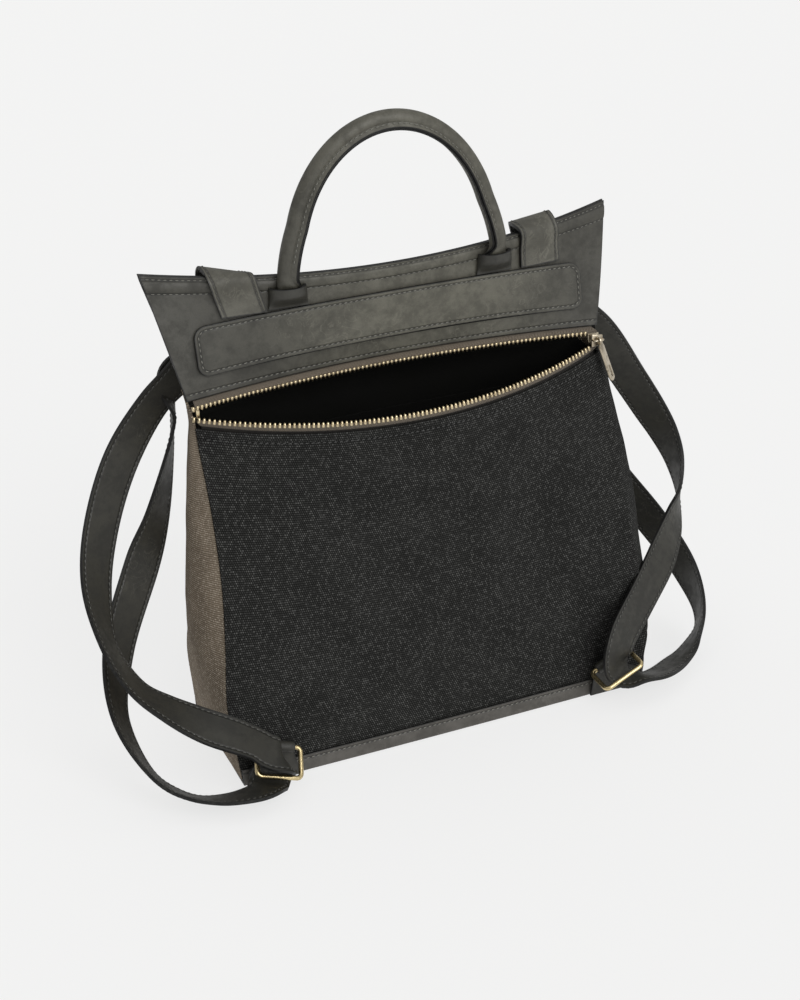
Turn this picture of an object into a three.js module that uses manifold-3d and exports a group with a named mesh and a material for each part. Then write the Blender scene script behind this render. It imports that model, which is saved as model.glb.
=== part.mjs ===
// Anti-theft backpack: canvas body, leather yoke, a zip across the wearer's side, standing on its base.
// Millimetres, +Z up. The zip side faces -Y. The origin is the middle of the base's underside.
import * as THREE from 'three';
import { mergeVertices } from 'three/addons/utils/BufferGeometryUtils.js';
import Module from 'manifold-3d';

const wasm = await Module();
wasm.setup();

// Driving dimensions
const GAP = 0.3; // between pieces that touch
const SEAT = 0.8; // over the yoke, whose faces are warped
const CANVAS = 1.5; // cloth walls
const LEATHER = 1.8; // yoke, base and corner tabs
const PATCH_T = 2;
const LINING = 1;
const LINING_BELOW = 2; // its front edge ends this far under the tucked tape
const LINING_SIDE_Z = 228; // its top at the sides and at the back
const LINING_BACK_Z = 240;
const TAPE = 1; // zip tape
const BASE_T = 2.5; // base plate
const BAND_H = 12; // turned-up front and back edge of the base

const TOP_HALF = 163; // half the width of the pinched top edge
const TOP_Z = 338; // top corners
const TOP_SAG = 13; // how far the top edge dips in the middle
const TOP_Y = 9; // top corners lean away from the zip
const TOP_BOW = 20; // the middle of the top edge comes forward
const YOKE_HALF = 146; // half the width of the yoke's lower edge
const YOKE_Z = 257;
const YOKE_RISE = 3.5; // its lower edge is higher in the middle
const YOKE_Y = -10.5;
const YOKE_BOW = 10; // the upper lip of the mouth lies back in the middle
const YOKE_BELLY = 1.5; // the yoke's own swell
const YOKE_GAP = 4.5; // from the front yoke's face to the back yoke's at the top and sides
const BACK_YOKE_Z = 248; // lower edge of the back yoke
const BACK_FILL = 7; // and how far it swells out
const BACK_TOP_Z = BACK_YOKE_Z - GAP; // the back panel ends under it
const GUSSET_TOP_Z = 264; // the gussets end between the yokes
const TUCK_Z = 240; // from here up they narrow to fit there
const TUCK_SLOPE = 0.14;

const LIP_HALF = 143; // half the length of the zip
const UPPER_LIP = { z: 252.5, drop: -1.5, y: -13.4, bow: 14 };
const LOWER_LIP = { z: 245, drop: 14, y: -13.4, bow: -28.6 };
const FRONT_TOP_Z = 239.5; // front panel's top edge at its ends
const TAPE_TUCK = 5; // tape hidden behind the panel or the yoke
const TAPE_STEPS = 30;
const TAPE_REACH = 0.97; // how much of the zip's length the tapes cover where they are sewn in
const TOOTH_PITCH = 3;
const TOOTH = { across: 3.2, thick: 3, cord: 1.4 };
const ZIP_FROM = -1.02; // the rows of teeth run between these fractions of the zip
const ZIP_TO = 0.955;
const SLIDE_AT = 0.99; // the slider's place on it, and the end stop's, behind the rows
const STOP_AT = -0.985;
const STOP = { behind: 3.7, wide: 2.4, deep: 2, high: 8 };

const PATCH_HALF = 136;
const PATCH_Z = 286.5;
const PATCH_RISE = 4.5; // higher in the middle than at its ends
const PATCH_HIGH = 32;
const PATCH_CORNER = 8;

const HANDLE_HALF = 66.5; // half the distance between the legs
const HANDLE_SPRING_Z = 330; // the legs turn into the arch
const HANDLE_RISE = 88;
const HANDLE_FOOT = { x: 71, z: 318, off: 4.2, wide: 8, deep: 3.2, share: 0.09 }; // flattened ends
const HANDLE_R = 5.8;
const FLANGE = { long: 3.6, half: 1.5, turn: 0.95 }; // sewn edge on the inside of the roll, turned to the front
const HANDLE_LEAN = { leg: 5, arch: 13 }; // towards the zip side
const HANDLE_SWAY = { foot: -1, top: -5 }; // and to the left
const FOOT_TAB = { x: 72, top: 321, bottom: 306.5, halfTop: 12, halfBottom: 13, thick: 1.8, bulge: 10.4 };

const STRAP_W = 26;
const STRAP_TOP = { wide: 29.5, rows: 3, taper: 4 }; // wider where it is sewn on and over the top
const STRAP_T = 2.2;
const STRAP_X = { left: 103, right: 106.5 }; // where the straps cross the top edge
const RING = { long: 31.2, short: 20.9, wire: 1.7, corner: 3.2 }; // bar centre to bar centre
const TAB_FOOT_Z = 1.2;
const TAB_HALF = 10; // half the width of the corner tabs at the ring
const KEEPER = { row: 4, long: 0.4, wall: 2, room: 1.8, layer: 2.9, rise: 4 }; // row, long: in strap rows
const SLIDER = { wide: 8.4, high: 9.2, plate: 1.4, apart: 2.9, bridge: 6.5, rod: 1.4 };
const PULL = { long: 30, wide: 7, thick: 1.8, neck: 2, eye: 1.3, rim: 1.2, slotLong: 8, slotHalf: 1.5 };
const PULL_POSE = { turn: 0.8, lift: 0.13, lean: 0.27 }; // radians, how it hangs

// Sections of the body from the base up. half: half width at the side seams; sway: the whole section
// moved along X; front, back: Y of the side seams; frontBow, backBow: how far the middle of each face
// swells out from its seams; leftBow, rightBow: swell of the gussets.
const BODY_COLUMNS = ['z', 'half', 'sway', 'front', 'back', 'frontBow', 'backBow', 'leftBow', 'rightBow'];
const BODY = [
  [0, 151, 2, -58.5, 58.5, 1, 1, 1, 1],
  [20, 151.9, 1.6, -54.9, 56.7, 2.9, 3.6, 3, 11],
  [55, 153, 1.2, -48.5, 53, 6, 8, 6, 14],
  [90, 150, 2.7, -42, 46, 8, 12, 11.5, 15],
  [135, 147, 4.5, -33, 34, 11, 18, 14.5, 15.5],
  [182, 146, 4.5, -24, 22, 18, 25, 10.5, 10],
  [225, 145.5, 2.5, -15.5, 8.5, 27, 29, 4.5, 5],
  [245, 145, 1, -12, 2, 30, 30, 1, 1],
  [268, 148.3, 0, -7.9, -1.9, 26, 26, 0, 0],
];
const RIGHT_SKEW = 0.6; // the right gusset swells most towards the front

// Straps, from the patch over the top edge, down behind, round the ring and back up to the keeper.
// x, y, z: middle of the strap; wx, wy, wz: direction across it.
const STRAP_COLUMNS = ['x', 'y', 'z', 'wx', 'wy', 'wz'];
const LEFT_DOWN = [
  [-108, 2.5, 335.5, 1, 0, -0.13],
  [-109.5, 10, 333.5, 1, 0, -0.13],
  [-111.5, 14.5, 325, 0.98, 0, -0.15],
  [-115, 19.5, 300, 0.92, 0.05, -0.35],
  [-124, 24.5, 279, 0.85, 0.1, -0.5],
  [-140, 30, 261, 0.72, 0.25, -0.62],
  [-158, 33, 245, 0.74, 0.35, -0.6],
  [-185, 29, 212, 0.82, 0.17, -0.54],
  [-208, 13, 171, 0.85, 0.28, -0.45],
  [-219, -7, 140, 0.76, 0.47, -0.45],
  [-220, -31, 110, 0.5, 0.78, -0.4],
  [-209, -50, 86, 0.5, 0.82, -0.25],
  [-193, -60, 72, 0.45, 0.89, 0.09],
  [-173, -67, 58, 0.5, 0.79, 0.35],
  [-151, -74, 46, 0.5, 0.79, 0.35],
  [-141, -77, 39.5, 0.45, 0.84, 0.3],
  [-135, -81, 34.8, 0.2, 0.8, 0.5],
];
const LEFT_UP = [
  [-146.5, -87.5, 11.5, -0.45, 0.87, -0.15],
  [-158.5, -87, 11, -0.17, 0.95, -0.26],
  [-172, -82, 10, -0.02, 0.94, -0.35],
  [-186, -75, 11, 0.11, 0.9, -0.42],
  [-199, -65, 16, 0.32, 0.82, -0.48],
  [-210, -50, 26, 0.38, 0.66, -0.64],
  [-219, -25, 56, 0.51, 0.69, -0.51],
  [-209, 3, 88, 0.76, 0.32, -0.56],
  [-181, 27, 135, 0.92, 0.2, -0.34],
  [-165, 36, 163, 0.76, 0.59, -0.26],
  [-148, 45, 208, 0.3, 0.88, -0.37],
  [-143, 45, 232, 0.1, 0.92, -0.35],
];
const RIGHT_DOWN = [
  [104, 2.5, 335.5, -1, 0, -0.13],
  [105.5, 10, 333.5, -1, 0, -0.13],
  [109, 14, 325, -0.98, 0, -0.15],
  [115, 19.5, 300, -0.92, 0.05, -0.35],
  [124, 24.5, 279, -0.85, 0.1, -0.5],
  [143, 28, 261, -0.75, 0.3, -0.55],
  [167, 30, 239, -0.74, 0.45, -0.5],
  [196, 36, 196, -0.72, 0.55, -0.42],
  [211, 33, 170, -0.6, 0.65, -0.46],
  [220, 26, 150, -0.35, 0.8, -0.5],
  [223, 16, 133, -0.05, 0.9, -0.42],
  [219, 2, 112, 0.4, 0.82, -0.42],
  [208, -10, 97, 0.72, 0.4, -0.57],
  [188, -28, 80, 0.8, 0.05, -0.58],
  [163.5, -48, 67.5, 0.7, 0, -0.7],
  [145.5, -61, 57.5, 0.68, 0, -0.72],
  [132, -71, 50, 0.7, 0.05, -0.68],
  [125.5, -76, 43, 0.78, 0.15, -0.5],
];
const RIGHT_UP = [
  [138, -80, 18.5, 0.55, 0.78, -0.3],
  [149.5, -79, 15, 0.42, 0.83, -0.36],
  [164, -71, 11, 0.32, 0.9, -0.3],
  [180, -60, 9.2, 0.24, 0.92, -0.25],
  [197, -49, 11.5, 0.28, 0.9, -0.3],
  [213, -38, 22, 0.36, 0.84, -0.4],
  [222, -22, 31, 0.15, 0.84, -0.52],
  [225, 6, 48, -0.27, 0.72, -0.63],
  [214, 33, 76, -0.5, 0.5, -0.7],
  [188, 56, 118, -0.62, 0.42, -0.66],
  [164, 62, 160, -0.75, 0.3, -0.6],
  [146, 54, 210, -0.85, 0.2, -0.5],
];

// How each strap goes through its ring, in the ring's own down, through and along directions, measured
// from its far bar: the place, then the direction across the strap.
const LEFT_ROUND = [
  [-11, -13, -3.5, -0.9, 0.1, -0.3],
  [-9.4, -8.5, -1.2, -0.68, -0.1, -0.7],
  [-9.2, -0.5, -0.8, -0.42, 0, -0.9],
  [-4, 5.4, -2, -0.25, -0.15, -0.95],
  [2.8, 5.2, -5, 0, 0.2, -0.95],
  [7, 0.4, -9.5, -0.2, 0.6, -0.75],
];
const RIGHT_ROUND = [
  [-10.5, -6, 1.8, -0.3, 0.1, 0.9],
  [-9.6, 1, 1.2, -0.42, 0.05, 0.9],
  [-6.5, 7, 4, -0.55, 0.4, 0.7],
];

const COLOURS = {
  charcoal: [0x2f2f2d, 0.95, 0],
  taupe: [0x6b6154, 0.95, 0],
  nubuck: [0x55544e, 0.8, 0],
  strapLeather: [0x3c3c38, 0.75, 0],
  lining: [0x121210, 0.95, 0],
  tape: [0x55493a, 0.95, 0],
  brass: [0x9a8450, 0.35, 1],
};

// Solids from points and triangles
function solid(points, faces) {
  const geometry = new THREE.BufferGeometry();
  const flat = points.flatMap((p) => [p.x, p.y, p.z]);
  geometry.setAttribute('position', new THREE.Float32BufferAttribute(flat, 3));
  const volume = faces.reduce((sum, [a, b, c]) => (
    sum + points[a].dot(new THREE.Vector3().crossVectors(points[b], points[c]))), 0);
  const outward = volume > 0 ? faces : faces.map(([a, b, c]) => [a, c, b]);
  geometry.setIndex(outward.flat());
  geometry.computeVertexNormals();
  return geometry;
}

// A wall between two skins. skin(u, v, side) gives a point for u from -1 to 1 and v from 0 to 1, on the
// outside for side 0 and the inside for side 1. With loop the wall closes on itself along u.
function sheet(across, up, skin, loop = false) {
  const points = [];
  const columns = loop ? across : across + 1;
  for (const side of [0, 1]) {
    for (let j = 0; j <= up; j++) {
      for (let i = 0; i < columns; i++) points.push(skin((2 * i) / across - 1, j / up, side));
    }
  }
  const at = (i, j, side) => (side * (up + 1) + j) * columns + (i % columns);
  const faces = [];
  const quad = (a, b, c, d) => faces.push([a, b, c], [a, c, d]);
  for (let j = 0; j < up; j++) {
    for (let i = 0; i < across; i++) {
      quad(at(i, j, 0), at(i + 1, j, 0), at(i + 1, j + 1, 0), at(i, j + 1, 0));
      quad(at(i, j, 1), at(i, j + 1, 1), at(i + 1, j + 1, 1), at(i + 1, j, 1));
    }
  }
  for (let i = 0; i < across; i++) {
    quad(at(i, 0, 1), at(i + 1, 0, 1), at(i + 1, 0, 0), at(i, 0, 0));
    quad(at(i, up, 0), at(i + 1, up, 0), at(i + 1, up, 1), at(i, up, 1));
  }
  for (let j = 0; j < up && !loop; j++) {
    quad(at(0, j, 0), at(0, j + 1, 0), at(0, j + 1, 1), at(0, j, 1));
    quad(at(across, j, 1), at(across, j + 1, 1), at(across, j + 1, 0), at(across, j, 0));
  }
  return solid(points, faces);
}

// A bar through frames { at, x, y }, each with its own section of the same number of points.
function bar(frames, sectionAt, loop = false) {
  const sections = frames.map((frame, i) => sectionAt(i / (frames.length - 1), i));
  const sides = sections[0].length;
  const points = frames.flatMap(({ at, x, y }, i) => sections[i].map((s) => (
    at.clone().addScaledVector(x, s.x).addScaledVector(y, s.y))));
  const faces = [];
  const steps = loop ? frames.length : frames.length - 1;
  for (let i = 0; i < steps; i++) {
    const next = (i + 1) % frames.length;
    for (let k = 0; k < sides; k++) {
      const l = (k + 1) % sides;
      faces.push([i * sides + k, i * sides + l, next * sides + l]);
      faces.push([i * sides + k, next * sides + l, next * sides + k]);
    }
  }
  if (!loop) {
    const last = (frames.length - 1) * sides;
    for (const [a, b, c] of THREE.ShapeUtils.triangulateShape(sections[0], [])) faces.push([a, c, b]);
    for (const [a, b, c] of THREE.ShapeUtils.triangulateShape(sections.at(-1), [])) {
      faces.push([last + a, last + b, last + c]);
    }
  }
  return solid(points, faces);
}

const vec = (x, y, z) => new THREE.Vector3(x, y, z);
const flat = (x, y) => new THREE.Vector2(x, y);
const mix = THREE.MathUtils.lerp;
const arch = (u) => 1 - u * u;

function circle(radius, sides) {
  return Array.from({ length: sides }, (_, k) => {
    const turn = (2 * Math.PI * k) / sides;
    return flat(radius * Math.cos(turn), radius * Math.sin(turn));
  });
}

function oblong(wide, thick) {
  return [flat(-wide / 2, -thick / 2), flat(wide / 2, -thick / 2), flat(wide / 2, thick / 2),
    flat(-wide / 2, thick / 2)];
}

// Joins and cuts
function toManifold(geometry) {
  const bare = geometry.clone();
  bare.deleteAttribute('normal');
  bare.deleteAttribute('uv');
  const merged = mergeVertices(bare, 1e-4);
  return new wasm.Manifold(new wasm.Mesh({
    numProp: 3,
    vertProperties: new Float32Array(merged.attributes.position.array),
    triVerts: new Uint32Array(merged.index.array),
  }));
}

function fromManifold(manifold) {
  const mesh = manifold.getMesh();
  const geometry = new THREE.BufferGeometry();
  geometry.setAttribute('position', new THREE.BufferAttribute(mesh.vertProperties, 3));
  geometry.setIndex(new THREE.BufferAttribute(mesh.triVerts, 1));
  geometry.computeVertexNormals();
  return geometry;
}

function readRow(columns, values) {
  return Object.fromEntries(columns.map((name, i) => [name, values[i]]));
}

// The body's sections, read between the rows of the table
const bodyCurves = new THREE.CubicInterpolant(
  BODY.map((row) => row[0]), BODY.flatMap((row) => row.slice(1)), BODY_COLUMNS.length - 1);

function bodyAt(z) {
  return readRow(BODY_COLUMNS.slice(1), bodyCurves.evaluate(z));
}

function frontFace(u, z, inset = 0) {
  const s = bodyAt(z);
  return vec(s.sway + s.half * u, s.front - s.frontBow * arch(u) + inset, z);
}

function backFace(u, z, inset = 0) {
  const s = bodyAt(z);
  return vec(s.sway + s.half * u, s.back + s.backBow * arch(u) - inset, z);
}

function sideFace(side, u, z, inset = 0, edge = CANVAS + 2 * GAP) {
  const s = bodyAt(z);
  const middle = (s.front + s.back) / 2;
  const tuck = Math.max(z - TUCK_Z, 0) * TUCK_SLOPE;
  const reach = Math.max((s.back - s.front) / 2 - edge - tuck, 0.5);
  const swell = (side < 0 ? s.leftBow : s.rightBow * (1 - RIGHT_SKEW * u)) * arch(u);
  return vec(s.sway + side * (s.half + swell - inset), middle + reach * u, z);
}

// The yoke's face: v runs from the top edge down to the lip of the mouth
function yokeFace(u, v, inset = 0) {
  const x = mix(TOP_HALF, YOKE_HALF, v) * u;
  const z = mix(TOP_Z - TOP_SAG * arch(u), YOKE_Z + YOKE_RISE * arch(u), v);
  const y = mix(TOP_Y - TOP_BOW * arch(u), YOKE_Y + YOKE_BOW * arch(u), v);
  return vec(x, y - YOKE_BELLY * 4 * v * (1 - v) + inset, z);
}

// The back yoke follows the front one at the top and sides, and spreads to the back panel below
function backYokeFace(u, v, inset = 0) {
  const front = yokeFace(u, v);
  const foot = backFace(u, BACK_YOKE_Z);
  const spread = v * v * v;
  const z = mix(TOP_Z - TOP_SAG * arch(u), BACK_YOKE_Z, v);
  const x = mix(front.x, foot.x, v * v);
  const fill = Math.sin(Math.PI * v) * BACK_FILL * arch(u);
  return vec(x, mix(front.y + YOKE_GAP, foot.y, spread) + fill - inset, z);
}

// Y of the yoke's face over a point of its own plane
function yokeY(x, z) {
  let u = x / YOKE_HALF;
  let v = 0.5;
  for (let pass = 0; pass < 12; pass++) {
    u = x / mix(TOP_HALF, YOKE_HALF, v);
    const top = TOP_Z - TOP_SAG * arch(u);
    v = (z - top) / (YOKE_Z + YOKE_RISE * arch(u) - top);
  }
  return yokeFace(u, v).y;
}

function lipPoint(lip, u) {
  return vec(1 + LIP_HALF * u, lip.y + lip.bow * arch(u), lip.z - lip.drop * arch(u));
}

const lipMiddle = (u) => lipPoint(UPPER_LIP, u).lerp(lipPoint(LOWER_LIP, u), 0.5);

// Canvas body
const frontTop = (u) => FRONT_TOP_Z - LOWER_LIP.drop * arch(u);
const WALL_FOOT = BASE_T + GAP;
const PANEL_STEPS = 18;

function frontPanel() {
  return sheet(PANEL_STEPS, 8, (u, v, side) => frontFace(u, mix(WALL_FOOT, frontTop(u), v), side * CANVAS));
}

function backPanel() {
  return sheet(PANEL_STEPS, 8, (u, v, side) => backFace(u, mix(WALL_FOOT, BACK_TOP_Z, v), side * CANVAS));
}

function gusset(side) {
  return sheet(6, 12, (u, v, skin) => sideFace(side, u, mix(WALL_FOOT, GUSSET_TOP_Z, v), skin * CANVAS));
}

// Loose bag of lining inside the walls, open at the top
function liningBag() {
  const inset = CANVAS + 5 * GAP;
  const foot = WALL_FOOT + GAP;
  const [front, sides] = [10, 4];
  const around = 2 * (front + sides);
  const inCorner = (point, u, deep) => point.setX(point.x - u * deep);
  return sheet(around, 6, (w, v, skin) => {
    const deep = inset + skin * LINING;
    let step = Math.round(((w + 1) / 2) * around) % around;
    if (step < front) {
      const u = (2 * step) / front - 1;
      const top = frontTop(u) - TAPE_TUCK - LINING_BELOW;
      return inCorner(frontFace(u, mix(foot, top, v), deep), u, deep);
    }
    step -= front;
    if (step < sides) return sideFace(1, (2 * step) / sides - 1, mix(foot, LINING_SIDE_Z, v), deep, deep);
    step -= sides;
    if (step < front) {
      const u = 1 - (2 * step) / front;
      return inCorner(backFace(u, mix(foot, LINING_BACK_Z, v), deep), u, deep);
    }
    const u = 1 - (2 * (step - front)) / sides;
    return sideFace(-1, u, mix(foot, LINING_SIDE_Z, v), deep, deep);
  }, true);
}

// Leather base: a plate with its front and back edges turned up over the canvas
function baseTray() {
  const frames = [];
  const sections = [];
  for (let i = 0; i <= PANEL_STEPS; i++) {
    const u = (2 * i) / PANEL_STEPS - 1;
    frames.push({ at: vec(frontFace(u, 0).x, 0, 0), x: vec(0, 1, 0), y: vec(0, 0, 1) });
    const [f0, f1] = [frontFace(u, 0).y - GAP, frontFace(u, BAND_H).y - GAP];
    const [b0, b1] = [backFace(u, 0).y + GAP, backFace(u, BAND_H).y + GAP];
    sections.push([flat(f0 - LEATHER, 0), flat(b0 + LEATHER, 0), flat(b1 + LEATHER, BAND_H),
      flat(b1, BAND_H), flat(b0, BASE_T), flat(f0, BASE_T), flat(f1, BAND_H),
      flat(f1 - LEATHER, BAND_H)]);
  }
  return bar(frames, (t, i) => sections[i]);
}

// Yoke and what is sewn to it
function yokeFront() {
  return sheet(20, 6, (u, v, side) => yokeFace(u, v, side * LEATHER));
}

function yokeBack() {
  return sheet(20, 7, (u, v, side) => backYokeFace(u, v, side * LEATHER));
}

function patch() {
  const half = PATCH_HIGH / 2;
  const levels = [-1, -0.9, -0.72, -0.5, 0.5, 0.72, 0.9, 1];
  return sheet(16, levels.length - 1, (u, v, side) => {
    const level = levels[Math.round(v * (levels.length - 1))] * half;
    const into = Math.max(Math.abs(level) - (half - PATCH_CORNER), 0);
    const reach = PATCH_HALF - PATCH_CORNER + Math.sqrt(PATCH_CORNER ** 2 - into ** 2);
    const x = reach * u;
    const z = PATCH_Z + PATCH_RISE * arch(x / PATCH_HALF) + level;
    return vec(x, yokeY(x, z) - SEAT - PATCH_T * (1 - side), z);
  });
}

// Cup of leather that holds the foot of the handle
function footTab(side) {
  return sheet(6, 3, (u, v, skin) => {
    const z = mix(FOOT_TAB.bottom, FOOT_TAB.top, v);
    const turn = (u * Math.PI) / 2;
    const half = mix(FOOT_TAB.halfBottom, FOOT_TAB.halfTop, v);
    const x = side * FOOT_TAB.x + HANDLE_SWAY.foot + half * Math.sin(turn);
    const bulge = FOOT_TAB.bulge * THREE.MathUtils.smoothstep(v, 0, 0.66) * Math.cos(turn);
    return vec(x, yokeY(x, z) - GAP - bulge - FOOT_TAB.thick * (1 - skin), z);
  });
}

// Rolled handle with a sewn flange on its inside. The legs flatten into the cups.
function handle() {
  const legSteps = 3;
  const archSteps = 26;
  const foot = HANDLE_FOOT;
  const footY = yokeY(foot.x, foot.z) - foot.off;
  const springY = footY - HANDLE_LEAN.leg;
  const leg = (side) => Array.from({ length: legSteps }, (_, i) => (
    vec(side * foot.x + HANDLE_SWAY.foot, mix(footY, springY, i / legSteps), mix(foot.z, HANDLE_SPRING_Z, i / legSteps))));
  const path = leg(-1);
  for (let i = 0; i <= archSteps; i++) {
    const turn = Math.PI * (1 - i / archSteps);
    const rise = Math.sin(turn);
    const reach = mix(foot.x, HANDLE_HALF, Math.min(rise * 3, 1));
    const x = reach * Math.cos(turn) + mix(HANDLE_SWAY.foot, HANDLE_SWAY.top, rise);
    path.push(vec(x, springY - HANDLE_LEAN.arch * rise, HANDLE_SPRING_Z + HANDLE_RISE * rise));
  }
  path.push(...leg(1).reverse());
  const flattened = (i) => {
    const t = i / (path.length - 1);
    return Math.max(0, 1 - Math.min(t, 1 - t) / foot.share);
  };
  const frames = path.map((at, i) => {
    const along = path[Math.min(i + 1, path.length - 1)].clone().sub(path[Math.max(i - 1, 0)]).normalize();
    const front = vec(0, -1, 0).addScaledVector(along, along.y).normalize();
    const turn = -FLANGE.turn * (1 - flattened(i));
    const y = front.applyAxisAngle(along, turn);
    return { at, x: new THREE.Vector3().crossVectors(along, y), y };
  });
  return bar(frames, (t, i) => {
    const flatten = flattened(i);
    const wide = mix(HANDLE_R, foot.wide, flatten);
    const deep = mix(HANDLE_R, foot.deep, flatten);
    const out = FLANGE.long * (1 - flatten); // the roll lies this far outside the path
    const ring = circle(1, 10).map((p) => flat(p.x * wide - out, p.y * deep));
    ring[0].set(wide, FLANGE.half * (1 - flatten) * 0.6);
    ring[9].set(wide, -FLANGE.half);
    ring[1].set(wide * 0.9 - out, FLANGE.half);
    ring[8].set(wide * 0.9 - out, -FLANGE.half * 1.2);
    return ring;
  });
}

// Zip: two tapes, two rows of teeth, an end stop, the slider and its pull
function tapeUpper() {
  return sheet(TAPE_STEPS, 2, (u, v, side) => {
    const inset = LEATHER + 2 * GAP;
    const tucked = yokeFace(u * TAPE_REACH, 1 - TAPE_TUCK / (TOP_Z - YOKE_Z), inset);
    const hem = yokeFace(u * TAPE_REACH, 1, inset);
    hem.z -= GAP;
    const lip = lipPoint(UPPER_LIP, u);
    lip.z += GAP + TOOTH.across / 2;
    const point = [tucked, hem, lip][Math.round(2 * v)];
    point.y += side * TAPE;
    return point;
  });
}

function tapeLower() {
  return sheet(TAPE_STEPS, 2, (u, v, side) => {
    const inset = CANVAS + 3 * GAP;
    const tucked = frontFace(u * TAPE_REACH, frontTop(u) - TAPE_TUCK, inset);
    const hem = frontFace(u * TAPE_REACH, frontTop(u) + GAP, inset);
    const lip = lipPoint(LOWER_LIP, u);
    lip.z -= GAP + TOOTH.across / 2;
    const point = [tucked, hem, lip][Math.round(2 * v)];
    point.y += side * TAPE;
    return point;
  });
}

function teeth(lip) {
  const count = Math.round((LIP_HALF * (ZIP_TO - ZIP_FROM)) / TOOTH_PITCH);
  const frames = [];
  for (let i = 0; i <= 2 * count; i++) {
    const at = lipPoint(lip, mix(ZIP_FROM, ZIP_TO, i / (2 * count)));
    at.y += TAPE / 2;
    frames.push({ at, x: vec(0, 0, 1), y: vec(0, 1, 0) });
  }
  return bar(frames, (t, i) => (
    i % 2 ? oblong(TOOTH.across, TOOTH.thick) : oblong(TOOTH.cord, TOOTH.cord)));
}

function block(at, wide, deep, high) {
  return new THREE.BoxGeometry(wide, deep, high).translate(at.x, at.y, at.z);
}

const slideAt = lipMiddle(SLIDE_AT);
const bridgeAt = slideAt.clone().add(vec(0, -SLIDER.bridge, 0.5));

function zipSlider() {
  const { wide, high, plate, apart, bridge, rod } = SLIDER;
  const plates = [-apart, apart].map((y) => block(slideAt.clone().add(vec(0, y, 0)), wide, plate, high));
  const wedge = block(slideAt, 2, 2 * apart, 3);
  const armLong = bridge - apart + rod / 2;
  const arms = [-1, 1].map((s) => block(
    bridgeAt.clone().add(vec((s * (wide - rod)) / 2, (armLong - rod) / 2, 0)), rod, armLong, rod));
  const axle = block(bridgeAt, wide - rod, rod, rod);
  const pieces = [...plates, wedge, ...arms, axle].map(toManifold);
  return fromManifold(pieces.reduce((all, piece) => all.add(piece)));
}

// The pull hangs from the bridge by its eye, turned and leaning to the bag's edge
function zipPull() {
  const { neck, eye, slotLong, slotHalf } = PULL;
  const half = PULL.wide / 2;
  const [top, shoulder, foot, cut] = [-eye - 0.6, -eye - 3.6, -PULL.long, 1.6];
  const outline = new THREE.Shape([flat(-neck, top), flat(-half, shoulder), flat(-half, foot + cut),
    flat(-half + cut, foot), flat(half - cut, foot), flat(half, foot + cut), flat(half, shoulder),
    flat(neck, top)]);
  const slotFoot = foot + 3;
  outline.holes.push(new THREE.Path([flat(-slotHalf, slotFoot), flat(-slotHalf, slotFoot + slotLong),
    flat(slotHalf, slotFoot + slotLong), flat(slotHalf, slotFoot)]));
  const plate = new THREE.ExtrudeGeometry(outline, { depth: PULL.thick, bevelEnabled: false });
  plate.translate(0, 0, -PULL.thick / 2).rotateX(Math.PI / 2);
  plate.rotateZ(PULL_POSE.turn).rotateX(-PULL_POSE.lift).rotateY(-PULL_POSE.lean);
  const loopFrames = circle(eye + PULL.rim / 2, 12).map((p) => {
    const at = vec(0, p.x, p.y);
    return { at, x: at.clone().normalize(), y: vec(1, 0, 0) };
  });
  const loop = bar(loopFrames, () => oblong(PULL.rim, PULL.thick), true);
  return fromManifold(toManifold(plate).add(toManifold(loop)));
}

// Rings at the bottom corners. a runs along the bars, b from the tab's bar to the strap's bar.
function ringFrame(middle, a, b) {
  const along = a.clone().normalize();
  const down = b.clone().addScaledVector(along, -b.dot(along)).normalize();
  const through = new THREE.Vector3().crossVectors(along, down);
  return { middle, along, down, through, strapBar: middle.clone().addScaledVector(down, RING.short / 2),
    tabBar: middle.clone().addScaledVector(down, -RING.short / 2) };
}
const leftRing = ringFrame(vec(-127.1, -72.7, 20.6), vec(0.94, 0, -0.34), vec(-0.3, -0.66, -0.69));
const rightRing = ringFrame(vec(123.3, -76, 25.5), vec(0.913, 0, 0.408), vec(0.04, -0.985, -0.16));

function wireRing(frame) {
  const { corner, wire } = RING;
  const [halfLong, halfShort] = [RING.long / 2 - corner, RING.short / 2 - corner];
  const frames = [];
  const cornerSteps = 3;
  [[1, 1, 0], [-1, 1, 90], [-1, -1, 180], [1, -1, 270]].forEach(([sa, sb, start]) => {
    for (let i = 0; i <= cornerSteps; i++) {
      const turn = THREE.MathUtils.degToRad(start + (90 * i) / cornerSteps);
      const out = frame.along.clone().multiplyScalar(Math.cos(turn))
        .addScaledVector(frame.down, Math.sin(turn));
      const at = frame.middle.clone().addScaledVector(frame.along, sa * halfLong)
        .addScaledVector(frame.down, sb * halfShort).addScaledVector(out, corner);
      frames.push({ at, x: out, y: frame.through });
    }
  });
  return bar(frames, () => circle(wire, 8), true);
}

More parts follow.
